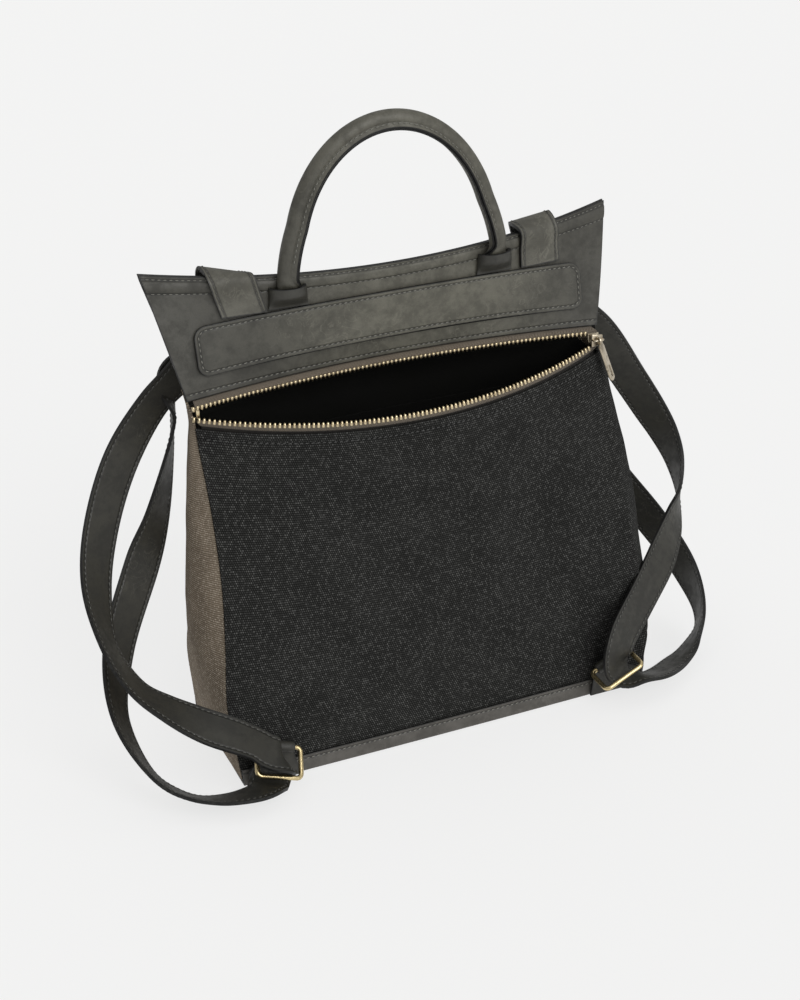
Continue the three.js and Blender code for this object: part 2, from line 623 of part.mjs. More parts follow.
// Corner tab: a leather triangle on the bag's corner, folded over the ring's upper bar
function cornerTab(frame, side) {
  const reach = 40;
  const down = new THREE.Vector3().crossVectors(vec(0, 1, 0), frame.along);
  if (down.z > 0) down.negate();
  const hole = RING.wire + GAP;
  const outer = hole + LEATHER;
  const profile = new THREE.Shape();
  const start = -Math.PI / 2;
  profile.moveTo(-outer, -reach);
  profile.lineTo(-outer, 0);
  profile.absarc(0, 0, outer, Math.PI, start, true);
  profile.lineTo(0, -hole);
  profile.absarc(0, 0, hole, start, Math.PI, false);
  profile.lineTo(-hole, -reach);
  const strip = new THREE.ExtrudeGeometry(profile, {
    depth: 2 * reach, bevelEnabled: false, curveSegments: 5 });
  strip.translate(0, 0, -reach);
  const up = down.negate();
  const basis = new THREE.Matrix4().makeBasis(vec(0, -1, 0), up,
    new THREE.Vector3().crossVectors(vec(0, -1, 0), up));
  strip.applyMatrix4(basis.setPosition(frame.tabBar));
  const { x: barX, z: barZ } = frame.tabBar;
  const slope = frame.along.z / frame.along.x;
  const fold = (x) => barZ + slope * (x - barX) + outer + 1;
  const [inner, outside] = [barX - side * TAB_HALF, barX + side * TAB_HALF];
  const seam = side * (bodyAt(0).half - 3) + bodyAt(0).sway;
  const shoulder = fold(outside) - 2 * outer - 2;
  const outline = new THREE.Shape([flat(inner, fold(inner)), flat(inner - side * 4, TAB_FOOT_Z),
    flat(seam, TAB_FOOT_Z), flat(seam, shoulder), flat(outside, shoulder), flat(outside, fold(outside))]);
  const prism = new THREE.ExtrudeGeometry(outline, { depth: 2 * reach, bevelEnabled: false });
  prism.rotateX(Math.PI / 2).translate(0, frame.tabBar.y + reach, 0);
  return fromManifold(toManifold(strip).intersect(toManifold(prism)));
}

// Straps
function station(row) {
  const { x, y, z, wx, wy, wz } = readRow(STRAP_COLUMNS, row);
  return { at: vec(x, y, z), across: vec(wx, wy, wz).normalize() };
}

// Over the front of the yoke: height and distance off it
const STRAP_FRONT = [[306, 0.3], [318, 0.4], [330, 2.2]];

// The whole run of a strap; the end lies on its outside under the keeper
function strapStations(side, down, ring, round, up) {
  const front = STRAP_FRONT.map(([z, off]) => {
    const edge = (reach) => {
      const x = side * ((side < 0 ? STRAP_X.left : STRAP_X.right) - 1 - reach);
      return vec(x, yokeY(x, z) - SEAT - STRAP_T / 2 - off, z);
    };
    const [outer, inner] = [edge(-STRAP_W / 2), edge(STRAP_W / 2)];
    return { at: outer.clone().lerp(inner, 0.5), across: inner.sub(outer).normalize() };
  });
  const inRing = (base, [b, n, a]) => base.clone().addScaledVector(ring.down, b)
    .addScaledVector(ring.through, n).addScaledVector(ring.along, a);
  const turned = round.map((row) => (
    { at: inRing(ring.strapBar, row), across: inRing(vec(0, 0, 0), row.slice(3)).normalize() }));
  const run = [...front, ...down.map(station), ...turned, ...up.map(station)];
  const curves = strapCurves(run);
  const kept = front.length + KEEPER.row;
  const tail = [1, 0.5, -0.5].map((ahead) => {
    const { at, x, y } = strapFrame(curves, kept + ahead);
    const across = x.dot(run.at(-1).across) < 0 ? x.negate() : x;
    const off = KEEPER.layer + Math.max(ahead - 0.5, 0) * KEEPER.rise;
    return { at: at.addScaledVector(y, Math.sign(y.y) * off), across };
  });
  return { kept, curves: strapCurves([...run, ...tail]) };
}

function strapCurves(stations) {
  return {
    last: stations.length - 1,
    middle: new THREE.CatmullRomCurve3(stations.map((s) => s.at)),
    across: new THREE.CatmullRomCurve3(stations.map((s) => s.across)),
  };
}

// Place and directions of a strap at a station number, whole or in between
function strapFrame({ last, middle, across }, number) {
  const t = number / last;
  const step = 1e-3;
  const ahead = middle.getPoint(Math.min(t + step, 1));
  const along = ahead.sub(middle.getPoint(Math.max(t - step, 0))).normalize();
  const x = across.getPoint(t);
  x.addScaledVector(along, -x.dot(along)).normalize();
  return { at: middle.getPoint(t), x, y: new THREE.Vector3().crossVectors(along, x) };
}

function strap({ curves }) {
  const perStation = 2;
  const frames = [];
  for (let i = 0; i <= perStation * curves.last; i++) frames.push(strapFrame(curves, i / perStation));
  return bar(frames, (t, i) => {
    const taper = THREE.MathUtils.clamp((i / perStation - STRAP_TOP.rows) / STRAP_TOP.taper, 0, 1);
    return oblong(mix(STRAP_TOP.wide, STRAP_W, taper), STRAP_T);
  });
}

// Plain keeper behind the bag, round the strap and its returning end
function keeper({ curves, kept }) {
  const { wall, room, layer, long } = KEEPER;
  return sheet(4, 3, (w, v, skin) => {
    const { at, x, y } = strapFrame(curves, kept + (v - 0.5) * long);
    const grow = room + (1 - skin) * wall;
    const corner = oblong(STRAP_W + 2 * grow, STRAP_T + layer + 2 * grow)[Math.round(2 * (w + 1)) % 4];
    const out = Math.sign(y.y);
    return at.addScaledVector(x, corner.x).addScaledVector(y, out * (corner.y + layer / 2));
  }, true);
}

// Assembly
const backpack = new THREE.Group();

function add(name, geometry, finish) {
  const [color, roughness, metalness] = COLOURS[finish];
  const mesh = new THREE.Mesh(geometry, new THREE.MeshStandardMaterial({ color, roughness, metalness }));
  mesh.name = name;
  backpack.add(mesh);
  return mesh;
}

add('front_panel', frontPanel(), 'charcoal');
add('back_panel', backPanel(), 'taupe');
add('gusset_left', gusset(-1), 'taupe');
add('gusset_right', gusset(1), 'charcoal');
add('lining', liningBag(), 'lining');
add('base', baseTray(), 'nubuck');
add('yoke_front', yokeFront(), 'nubuck');
add('yoke_back', yokeBack(), 'nubuck');
add('patch', patch(), 'nubuck');
add('handle', handle(), 'nubuck');
add('handle_tab_left', footTab(-1), 'nubuck');
add('handle_tab_right', footTab(1), 'nubuck');
add('zip_tape_upper', tapeUpper(), 'tape');
add('zip_tape_lower', tapeLower(), 'tape');
add('zip_teeth_upper', teeth(UPPER_LIP), 'brass');
add('zip_teeth_lower', teeth(LOWER_LIP), 'brass');
add('zip_stop', block(lipMiddle(STOP_AT).add(vec(0, STOP.behind, 0)), STOP.wide, STOP.deep, STOP.high), 'brass');
add('zip_slider', zipSlider(), 'brass');
const pull = add('zip_pull', zipPull(), 'brass');
pull.position.copy(bridgeAt);

for (const [name, side, down, ring, round, up] of [
  ['left', -1, LEFT_DOWN, leftRing, LEFT_ROUND, LEFT_UP],
  ['right', 1, RIGHT_DOWN, rightRing, RIGHT_ROUND, RIGHT_UP]]) {
  const run = strapStations(side, down, ring, round, up);
  add(`strap_${name}`, strap(run), 'strapLeather');
  add(`strap_keeper_${name}`, keeper(run), 'brass');
  add(`ring_${name}`, wireRing(ring), 'brass');
  add(`corner_tab_${name}`, cornerTab(ring, side), 'nubuck');
}

export default backpack;
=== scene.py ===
import math

import bmesh
import bpy
from mathutils import Matrix, Vector, noise


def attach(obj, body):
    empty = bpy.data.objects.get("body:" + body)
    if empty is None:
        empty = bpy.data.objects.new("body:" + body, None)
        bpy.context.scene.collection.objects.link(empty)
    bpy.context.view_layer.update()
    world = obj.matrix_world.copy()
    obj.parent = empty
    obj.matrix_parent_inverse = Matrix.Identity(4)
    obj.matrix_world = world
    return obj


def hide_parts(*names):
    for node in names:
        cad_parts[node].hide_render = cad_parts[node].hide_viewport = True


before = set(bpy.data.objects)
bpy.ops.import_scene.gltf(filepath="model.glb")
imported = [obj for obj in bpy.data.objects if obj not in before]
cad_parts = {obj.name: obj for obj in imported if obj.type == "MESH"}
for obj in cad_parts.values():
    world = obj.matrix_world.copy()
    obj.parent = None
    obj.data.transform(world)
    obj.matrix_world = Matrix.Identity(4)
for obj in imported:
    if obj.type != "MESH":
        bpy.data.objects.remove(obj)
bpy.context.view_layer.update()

# Values repeated from the part's source, in millimetres
MM = 0.001
GAP = 0.3
SEAT = 0.8
CANVAS = 1.5
LEATHER = 1.8
PATCH_T = 2.0
LINING = 1.0
LINING_BELOW = 2.0
TAPE = 1.0
BASE_T = 2.5
BAND_H = 12.0
WALL_FOOT = BASE_T + GAP
TOP_HALF = 163.0
TOP_Z = 338.0
TOP_SAG = 13.0
TOP_Y = 9.0
TOP_BOW = 20.0
YOKE_HALF = 146.0
YOKE_Z = 257.0
YOKE_RISE = 3.5
YOKE_Y = -10.5
YOKE_BOW = 10.0
YOKE_BELLY = 1.5
YOKE_GAP = 4.5
BACK_YOKE_Z = 248.0
BACK_FILL = 7.0
BACK_TOP_Z = BACK_YOKE_Z - GAP
GUSSET_TOP_Z = 264.0
TUCK_Z = 240.0
TUCK_SLOPE = 0.14
LIP_HALF = 143.0
UPPER_LIP = {"z": 252.5, "drop": -1.5, "y": -13.4, "bow": 14.0}
LOWER_LIP = {"z": 245.0, "drop": 14.0, "y": -13.4, "bow": -28.6}
FRONT_TOP_Z = 239.5
TAPE_TUCK = 5.0
TAPE_REACH = 0.97
TOOTH_PITCH = 3.0
ZIP_FROM = -1.02
ZIP_TO = 0.955
SLIDE_AT = 0.99
STOP_AT = -0.985
STOP = {"behind": 3.7, "wide": 2.4, "deep": 2.0, "high": 8.0}
PATCH_HALF = 136.0
PATCH_Z = 286.5
PATCH_RISE = 4.5
PATCH_HIGH = 32.0
PATCH_CORNER = 8.0
HANDLE_HALF = 66.5
HANDLE_SPRING_Z = 330.0
HANDLE_RISE = 88.0
HANDLE_FOOT = {"x": 71.0, "z": 318.0, "off": 4.2, "wide": 8.0, "deep": 3.2}
HANDLE_R = 5.8
FLANGE = 3.6
FLANGE_TURN = 0.95
HANDLE_LEAN = {"leg": 5.0, "arch": 13.0}
HANDLE_SWAY = {"foot": -1.0, "top": -5.0}
FOOT_TAB = {"x": 72.0, "top": 321.0, "bottom": 306.5, "half_top": 12.0, "half_bottom": 13.0, "thick": 1.8,
            "bulge": 10.4}
STRAP_W = 26.0
STRAP_TOP = {"wide": 29.5, "rows": 3, "taper": 4}
STRAP_T = 2.2
STRAP_X = {"left": 103.0, "right": 106.5}
RING = {"long": 31.2, "short": 20.9, "wire": 1.7, "corner": 3.2}
TAB_FOOT_Z = 1.2
TAB_HALF = 10.0
KEEPER = {"row": 4, "long": 0.4, "wall": 2.0, "room": 1.8, "layer": 2.9, "rise": 4.0}
SLIDER = {"wide": 8.4, "high": 9.2, "plate": 1.4, "apart": 2.9, "bridge": 6.5, "rod": 1.4,
          "narrow": 0.74, "post": (2.2, 3.0), "wire": 0.75, "bend": 1.4, "up": 0.5}
PULL = {"long": 30.0, "wide": 7.0, "thick": 1.8, "neck": 2.0, "eye": 1.3, "rim": 1.2,
        "slot_long": 8.0, "slot_half": 1.5}
PULL_POSE = {"turn": 0.8, "lift": 0.13, "lean": 0.27}
RIGHT_SKEW = 0.6

# Sections of the body from the base up: z, half width, sway, front and back seam, swell of the four faces
BODY_COLUMNS = ("half", "sway", "front", "back", "front_bow", "back_bow", "left_bow", "right_bow")
BODY = [
    (0, 151, 2, -58.5, 58.5, 1, 1, 1, 1),
    (20, 151.9, 1.6, -54.9, 56.7, 2.9, 3.6, 3, 11),
    (55, 153, 1.2, -48.5, 53, 6, 8, 6, 14),
    (90, 150, 2.7, -42, 46, 8, 12, 11.5, 15),
    (135, 147, 4.5, -33, 34, 11, 18, 14.5, 15.5),
    (182, 146, 4.5, -24, 22, 18, 25, 10.5, 10),
    (225, 145.5, 2.5, -15.5, 8.5, 27, 29, 4.5, 5),
    (245, 145, 1, -12, 2, 30, 30, 1, 1),
    (268, 148.3, 0, -7.9, -1.9, 26, 26, 0, 0),
]

# Straps, from the patch over the top edge, down behind, round the ring and back up to the keeper.
# Each row: middle of the strap, then the direction across it.
STRAP_FRONT = [(306, 0.3), (318, 0.4), (330, 2.2)]
LEFT_DOWN = [
    (-110, 2.5, 333.5, 1, -0.16, -0.2), (-111.5, 10, 332, 1, -0.16, -0.2), (-112, 14.5, 325, 0.98, 0, -0.15),
    (-115, 19.5, 300, 0.92, 0.05, -0.35), (-124, 24.5, 279, 0.85, 0.1, -0.5),
    (-140, 30, 261, 0.72, 0.25, -0.62), (-158, 33, 245, 0.74, 0.35, -0.6),
    (-185, 29, 212, 0.82, 0.17, -0.54), (-208, 13, 171, 0.85, 0.28, -0.45),
    (-219, -7, 140, 0.76, 0.47, -0.45), (-220, -31, 110, 0.5, 0.78, -0.4),
    (-209, -50, 86, 0.5, 0.82, -0.25), (-193, -60, 72, 0.45, 0.89, 0.09),
    (-173, -67, 58, 0.5, 0.79, 0.35), (-151, -74, 46, 0.5, 0.79, 0.35),
    (-141, -77, 39.5, 0.45, 0.84, 0.3), (-135, -81, 34.8, 0.2, 0.8, 0.5),
]
LEFT_UP = [
    (-146.5, -87.5, 11.5, -0.45, 0.87, -0.15), (-158.5, -87, 11, -0.17, 0.95, -0.26),
    (-172, -82, 10, -0.02, 0.94, -0.35), (-186, -75, 11, 0.11, 0.9, -0.42),
    (-199, -65, 16, 0.32, 0.82, -0.48), (-210, -50, 26, 0.38, 0.66, -0.64),
    (-219, -25, 56, 0.51, 0.69, -0.51), (-209, 3, 88, 0.76, 0.32, -0.56),
    (-181, 27, 135, 0.92, 0.2, -0.34), (-165, 36, 163, 0.76, 0.59, -0.26),
    (-148, 45, 208, 0.3, 0.88, -0.37), (-143, 45, 232, 0.1, 0.92, -0.35),
]
RIGHT_DOWN = [
    (104, 2.5, 335.5, -1, 0, -0.13), (105.5, 10, 333.5, -1, 0, -0.13), (109, 14, 325, -0.98, 0, -0.15),
    (115, 19.5, 300, -0.92, 0.05, -0.35), (124, 24.5, 279, -0.85, 0.1, -0.5),
    (143, 28, 261, -0.75, 0.3, -0.55), (167, 30, 239, -0.74, 0.45, -0.5),
    (196, 36, 196, -0.72, 0.55, -0.42), (211, 33, 170, -0.6, 0.65, -0.46),
    (220, 26, 150, -0.35, 0.8, -0.5), (223, 16, 133, -0.05, 0.9, -0.42),
    (219, 2, 112, 0.4, 0.82, -0.42), (208, -10, 97, 0.72, 0.4, -0.57),
    (188, -28, 80, 0.8, 0.05, -0.58), (163.5, -48, 67.5, 0.7, 0, -0.7),
    (145.5, -61, 57.5, 0.68, 0, -0.72), (132, -71, 50, 0.7, 0.05, -0.68),
    (125.5, -76, 43, 0.78, 0.15, -0.5),
]
RIGHT_UP = [
    (138, -80, 18.5, 0.55, 0.78, -0.3), (149.5, -79, 15, 0.42, 0.83, -0.36),
    (164, -71, 11, 0.32, 0.9, -0.3), (180, -60, 9.2, 0.24, 0.92, -0.25),
    (197, -49, 11.5, 0.28, 0.9, -0.3), (213, -38, 22, 0.36, 0.84, -0.4),
    (222, -22, 31, 0.15, 0.84, -0.52), (225, 6, 48, -0.27, 0.72, -0.63),
    (214, 33, 76, -0.5, 0.5, -0.7), (188, 56, 118, -0.62, 0.42, -0.66),
    (164, 62, 160, -0.75, 0.3, -0.6), (146, 54, 210, -0.85, 0.2, -0.5),
]
# Through the ring, in its own down, through and along directions from its far bar
LEFT_ROUND = [
    (-11, -13, -3.5, -0.9, 0.1, -0.3), (-9.4, -8.5, -1.2, -0.68, -0.1, -0.7),
    (-9.2, -0.5, -0.8, -0.42, 0, -0.9), (-4, 5.4, -2, -0.25, -0.15, -0.95),
    (2.8, 5.2, -5, 0, 0.2, -0.95), (7, 0.4, -9.5, -0.2, 0.6, -0.75),
]
RIGHT_ROUND = [
    (-10.5, -6, 1.8, -0.3, 0.1, 0.9), (-9.6, 1, 1.2, -0.42, 0.05, 0.9),
    (-6.5, 7, 4, -0.55, 0.4, 0.7),
]

# Rows of stitches: how far in from an edge, and the stitches' spacing, size, slant and how proud they stand
STITCH = {"pitch": 3.7, "long": 2.6, "wide": 0.8, "high": 0.6, "slant": 0.16, "proud": 0.12}
STRAP_PITCH = 3.9
STRAP_ROW = 2.4
PATCH_ROW = 2.8
HEM_ROWS = (2.4, 10.6)
HEM_RISE = 1.2
YOKE_FOOT_ROW = 3.4
FRONT_ROW = 6.5
BAND_ROW = 2.6
# How far a row's groove reaches to either side
GROOVE = {"cloth": 1.3, "yoke": 1.1, "patch": 1.0, "strap": 0.9}
# The mark of a place that is near no edge and no row
FAR = 50.0

# Shapes of the scene alone, in millimetres
FRONT_HIGH = 232.0
SEAM_HALF = 148.0
GUSSET_HALF = 50.0
YOKE_DEEP = 74.0
LINING_SIDE_Z = 240.0
LINING_BACK_Z = 246.5
# Belly of the right seam past the cut: height, and how far out
SWELL = [(0, 0), (14, 3.0), (34, 7.5), (62, 7.5), (110, 5.0), (160, 3.0), (215, 0), (300, 0)]
# Outward lean of each strap's loop for every millimetre of height
STRAP_LEAN = {"left": 0.25, "right": 0.0}
# Stations along a strap where its loop ends, and where it no longer follows the fold over the top edge
FOLD_ROWS = (4.2, 5.4)
# Length of a strap's steps, how many of them its twist is eased over, and the parts a station is measured in
STRAP_STEP = 2.0
STRAP_EASE = 5
STATION_PARTS = 24
# Base: height of the bend under its bands, the nip of its corner, and the parts round its section
BASE_BEND = 2.4
BASE_NIP = 0.7
BASE_PARTS = 7
# Dark strip under the patch, standing for its painted edge and for the painted shadow below it: how far in and out
# it reaches, and how much further in the middle
PATCH_FOOT = {"in": 1.0, "out": 0.5, "sag": 0.9}
# Lips of the handle's flange: thickness, depth of the gap between them and height of their stitches
HANDLE_LIP = {"thick": 1.6, "gap": 2.4, "row": 2.15}
# Zip tooth: width and depth at its nose and foot, length and rounding
TOOTH = {"nose": (1.5, 2.2), "foot": (2.1, 3.0), "long": 3.5, "rounded": 0.45}

# Looks, lengths in metres. Painted light: the hide is painted paler near the middle of the top, as light falling
# there, and darker towards its ends: where that middle is, where the paleness starts and stops fading, and the
# shares of colour there.
PAINTED_LIGHT_MIDDLE = {"x": 0.02, "flat": 0.02, "fade": 0.13, "middle": 1.42, "ends": 0.62}
# Painted shadow on the zip tape next to the edges it goes in under, fading between these places on its flat cut
TAPE_SHADE = (0.0043, 0.0058)
TAPE_RIB = {"stripe": 1.6, "pitch": 1.1}
YARN = {"canvas": 0.00155, "lining": 0.0009}
TUBE_ROUND = 0.04
HIDE_ROUGH = 0.56
RUN_PAINT = (0.008, 0.008, 0.0072)
FLOOR = {"low": -0.0002, "base": (0.20, 0.20, 0.199, 1), "glow": (1.0, 1.0, 0.997, 1), "power": 0.715}
SKY = {"colour": (1.0, 1.0, 0.995, 1), "full_at": 0.9, "low": 0.30, "high": 0.72}
KEY_LIGHT = {"power": 1.75, "wide": 45, "way": (-0.18, 0.87, -0.48)}
# Camera fitted to the photo: focal length and height in its pixels, turns in degrees
CAMERA = {"focal": 1700.0, "high": 1000, "sensor": 36, "turns": (20.57, 23.49, -3.72),
          "at": (-0.3803, -1.0057, 0.621)}


def mix(a, b, t):
    return a + (b - a) * t


def arch(u):
    return 1 - u * u


def smooth(low, high, value):
    t = min(max((value - low) / (high - low), 0.0), 1.0)
    return t * t * (3 - 2 * t)


def ripple(x, z, size, seed):
    return noise.noise(Vector((x / size, z / size, seed)))


# The body's faces
def body_at(z):
    k = next((i for i in range(1, len(BODY)) if z <= BODY[i][0]), len(BODY) - 1)
    a, b = BODY[k - 1], BODY[k]
    before = BODY[k - 2] if k > 1 else b
    after = BODY[k + 1] if k + 1 < len(BODY) else a
    half = (b[0] - a[0]) / 2
    wp, wn = half / (a[0] - before[0]), half / (after[0] - b[0])
    p = (z - a[0]) / (b[0] - a[0])
    pp, ppp = p * p, p * p * p
    sp = -wp * ppp + 2 * wp * pp - wp * p
    s0 = (1 + wp) * ppp + (-1.5 - 2 * wp) * pp + (-0.5 + wp) * p + 1
    s1 = (-1 - wn) * ppp + (1.5 + wn) * pp + 0.5 * p
    sn = wn * ppp - wn * pp
    values = [sp * q + s0 * r + s1 * s + sn * t for q, r, s, t in zip(before, a, b, after)]
    return dict(zip(BODY_COLUMNS, values[1:]))


def front_face(u, z, inset=0.0):
    s = body_at(z)
    return Vector((s["sway"] + s["half"] * u, s["front"] - s["front_bow"] * arch(u) + inset, z))


def back_face(u, z, inset=0.0):
    s = body_at(z)
    return Vector((s["sway"] + s["half"] * u, s["back"] + s["back_bow"] * arch(u) - inset, z))


def side_face(side, u, z, inset=0.0, edge=CANVAS + 2 * GAP):
    s = body_at(z)
    tuck = max(z - TUCK_Z, 0) * TUCK_SLOPE
    reach = max((s["back"] - s["front"]) / 2 - edge - tuck, 0.5)
    belly = (s["left_bow"] if side < 0 else s["right_bow"] * (1 - RIGHT_SKEW * u)) * arch(u)
    middle = (s["front"] + s["back"]) / 2
    return Vector((s["sway"] + side * (s["half"] + belly - inset), middle + reach * u, z))


def yoke_face(u, v, inset=0.0):
    x = mix(TOP_HALF, YOKE_HALF, v) * u
    z = mix(TOP_Z - TOP_SAG * arch(u), YOKE_Z + YOKE_RISE * arch(u), v)
    y = mix(TOP_Y - TOP_BOW * arch(u), YOKE_Y + YOKE_BOW * arch(u), v)
    return Vector((x, y - YOKE_BELLY * 4 * v * (1 - v) + inset, z))


def back_yoke_face(u, v):
    front = yoke_face(u, v)
    foot = back_face(u, BACK_YOKE_Z)
    z = mix(TOP_Z - TOP_SAG * arch(u), BACK_YOKE_Z, v)
    fill = math.sin(math.pi * v) * BACK_FILL * arch(u)
    return Vector((mix(front.x, foot.x, v * v), mix(front.y + YOKE_GAP, foot.y, v ** 3) + fill, z))


def yoke_y(x, z):
    v = 0.5
    for _ in range(12):
        u = x / mix(TOP_HALF, YOKE_HALF, v)
        top = TOP_Z - TOP_SAG * arch(u)
        v = (z - top) / (YOKE_Z + YOKE_RISE * arch(u) - top)
    return yoke_face(u, v).y


def lip_point(lip, u):
    return Vector((1 + LIP_HALF * u, lip["y"] + lip["bow"] * arch(u), lip["z"] - lip["drop"] * arch(u)))


def lip_middle(u):
    return lip_point(UPPER_LIP, u).lerp(lip_point(LOWER_LIP, u), 0.5)


def front_top(u):
    return FRONT_TOP_Z - LOWER_LIP["drop"] * arch(u)


# The straps' run
def spline(points, number):
    k = min(int(number), len(points) - 2)
    w = number - k
    p1, p2 = points[k], points[k + 1]
    p0 = points[k - 1] if k else 2 * p1 - p2
    p3 = points[k + 2] if k + 2 < len(points) else 2 * p2 - p1
    d1 = (p2 - p1).length ** 0.5
    d1 = d1 if d1 > 1e-4 else 1.0
    d0, d2 = ((b - a).length ** 0.5 for a, b in ((p0, p1), (p2, p3)))
    d0, d2 = (d if d > 1e-4 else d1 for d in (d0, d2))
    t1 = ((p1 - p0) / d0 - (p2 - p0) / (d0 + d1) + (p2 - p1) / d1) * d1
    t2 = ((p2 - p1) / d1 - (p3 - p1) / (d1 + d2) + (p3 - p2) / d2) * d1
    return p1 + w * (t1 + w * ((3 * (p2 - p1) - 2 * t1 - t2) + w * (2 * (p1 - p2) + t1 + t2)))


def strap_frame(run, number):
    middles, acrosses = run
    last = len(middles) - 1
    step = 1e-3 * last
    along = spline(middles, min(number + step, last)) - spline(middles, max(number - step, 0))
    along.normalize()
    x = spline(acrosses, number)
    x = (x - along * x.dot(along)).normalized()
    return spline(middles, number), x, along.cross(x)


def ring_frame(middle, a, b):
    along = Vector(a).normalized()
    down = (Vector(b) - along * Vector(b).dot(along)).normalized()
    return {"middle": Vector(middle), "along": along, "down": down, "through": along.cross(down),
            "strap_bar": Vector(middle) + down * RING["short"] / 2,
            "tab_bar": Vector(middle) - down * RING["short"] / 2}


LEFT_RING = ring_frame((-127.1, -72.7, 20.6), (0.94, 0, -0.34), (-0.3, -0.66, -0.69))
RIGHT_RING = ring_frame((123.3, -76, 25.5), (0.913, 0, 0.408), (0.04, -0.985, -0.16))


def strap_run(side, down, ring, round_ring, up):
    middles, acrosses = [], []

    def station(at, across):
        middles.append(Vector(at))
        acrosses.append(Vector(across).normalized())

    name = "left" if side < 0 else "right"
    for z, off in STRAP_FRONT:
        edges = []
        lean = STRAP_LEAN[name] * (z - STRAP_FRONT[0][0])
        for reach in (-STRAP_W / 2, STRAP_W / 2):
            x = side * (STRAP_X[name] - 1 - reach + lean)
            edges.append(Vector((x, yoke_y(x, z) - SEAT - STRAP_T / 2 - off, z)))
        station(edges[0].lerp(edges[1], 0.5), edges[1] - edges[0])
    for row in down:
        station(row[:3], row[3:])
    ways = (ring["down"], ring["through"], ring["along"])
    for row in round_ring:
        place, across = (sum((w * n for w, n in zip(ways, part)), Vector()) for part in (row[:3], row[3:]))
        station(ring["strap_bar"] + place, across)
    for row in up:
        station(row[:3], row[3:])
    kept = len(STRAP_FRONT) + KEEPER["row"]
    last_across = acrosses[-1].copy()
    tail = []
    for ahead in (1, 0.5, -0.5):
        at, x, y = strap_frame((middles, acrosses), kept + ahead)
        off = KEEPER["layer"] + max(ahead - 0.5, 0) * KEEPER["rise"]
        tail.append((at + y * math.copysign(off, y.y), -x if x.dot(last_across) < 0 else x))
    for at, across in tail:
        station(at, across)
    return middles, acrosses


STRAPS = {
    "left": strap_run(-1, LEFT_DOWN, LEFT_RING, LEFT_ROUND, LEFT_UP),
    "right": strap_run(1, RIGHT_DOWN, RIGHT_RING, RIGHT_ROUND, RIGHT_UP),
}


# Mesh helpers
def spread(*stops, step):
    """The given stops, with more between them no further apart than step."""
    made = [stops[0]]
    for a, b in zip(stops, stops[1:]):
        count = max(1, math.ceil((b - a) / step - 1e-6))
        made += [mix(a, b, (i + 1) / count) for i in range(count)]
    return made

def running(points):
    """Length of the line through points, up to each of them."""
    lengths = [0.0]
    for a, b in zip(points, points[1:]):
        lengths.append(lengths[-1] + (b - a).length)
    return lengths


def steps_along(lengths, wants):
    """For each wanted length, the point before it and the share of the way to the next."""
    k = 0
    for want in wants:
        while k < len(lengths) - 2 and lengths[k + 1] < want:
            k += 1
        yield k, (want - lengths[k]) / max(lengths[k + 1] - lengths[k], 1e-9)


def evenly(points, count, closed=False):
    """The line through points, cut into equal steps."""
    line = points + points[:1] if closed else points
    lengths = running(line)
    wants = [lengths[-1] * i / (count if closed else count - 1) for i in range(count)]
    return [line[k].lerp(line[k + 1], share) for k, share in steps_along(lengths, wants)]


def tangents(line):
    """Direction of a line at each of its points."""
    last = len(line) - 1
    return [(line[min(i + 1, last)] - line[max(i - 1, 0)]).normalized() for i in range(last + 1)]


def flat_cut(wide, high):
    """Place of a piece's stops on its flat cut, in millimetres."""
    return lambda u, v: (wide * u, high * v)


def marked_grid(columns, rows):
    """A flat grid with layers for its flat cut and its marks, and each vertex's column and row."""
    bm = bmesh.new()
    bmesh.ops.create_grid(bm, x_segments=columns, y_segments=rows, size=0.5)
    flat = bm.loops.layers.uv.new("cut")
    edge = bm.verts.layers.float.new("edge")
    row = bm.verts.layers.float.new("row")
    at = {v: (round((v.co.x + 0.5) * columns), round((v.co.y + 0.5) * rows)) for v in bm.verts}
    return bm, flat, edge, row, at


def laid_grid(us, vs, place, cut, marks=None):
    """A grid laid over place(u, v) at the given stops. cut(u, v) is its place on the flat piece; marks(u, v)
    gives the distances to the piece's edge and to its nearest row of stitches. All in millimetres."""
    bm, flat, edge, row, at = marked_grid(len(us) - 1, len(vs) - 1)
    for face in bm.faces:
        for loop in face.loops:
            i, j = at[loop.vert]
            loop[flat].uv = [MM * c for c in cut(us[i], vs[j])]
    for vert, (i, j) in at.items():
        vert[edge], vert[row] = marks(us[i], vs[j]) if marks else (FAR, FAR)
        vert.co = MM * place(us[i], vs[j])
    return bm


def swept(frames, sections, edge_sides=()):
    """A tube of outlines set on a row of frames (at, x, y). Sides named in edge_sides take the second
    material."""
    steps, sides = len(frames) - 1, len(sections[0])
    bm, flat, edge, row, at = marked_grid(steps, sides)
    lengths = running([middle for middle, _, _ in frames])
    for face in bm.faces:
        if min(at[loop.vert][1] for loop in face.loops) in edge_sides:
            face.material_index = 1
        for loop in face.loops:
            i, k = at[loop.vert]
            loop[flat].uv = (MM * lengths[i], TUBE_ROUND * k / sides)
    for vert, (i, k) in at.items():
        middle, x, y = frames[i]
        px, py = sections[i][k % sides]
        vert.co = MM * (middle + x * px + y * py)
        vert[edge] = vert[row] = FAR
    bmesh.ops.remove_doubles(bm, verts=bm.verts, dist=1e-6)
    bmesh.ops.holes_fill(bm, edges=[e for e in bm.edges if e.is_boundary], sides=0)
    bmesh.ops.recalc_face_normals(bm, faces=bm.faces)
    return bm


def round_wire(radius, sides):
    turns = [k * math.pi / (sides / 2) for k in range(sides)]
    return [(radius * math.cos(turn), radius * math.sin(turn)) for turn in turns]


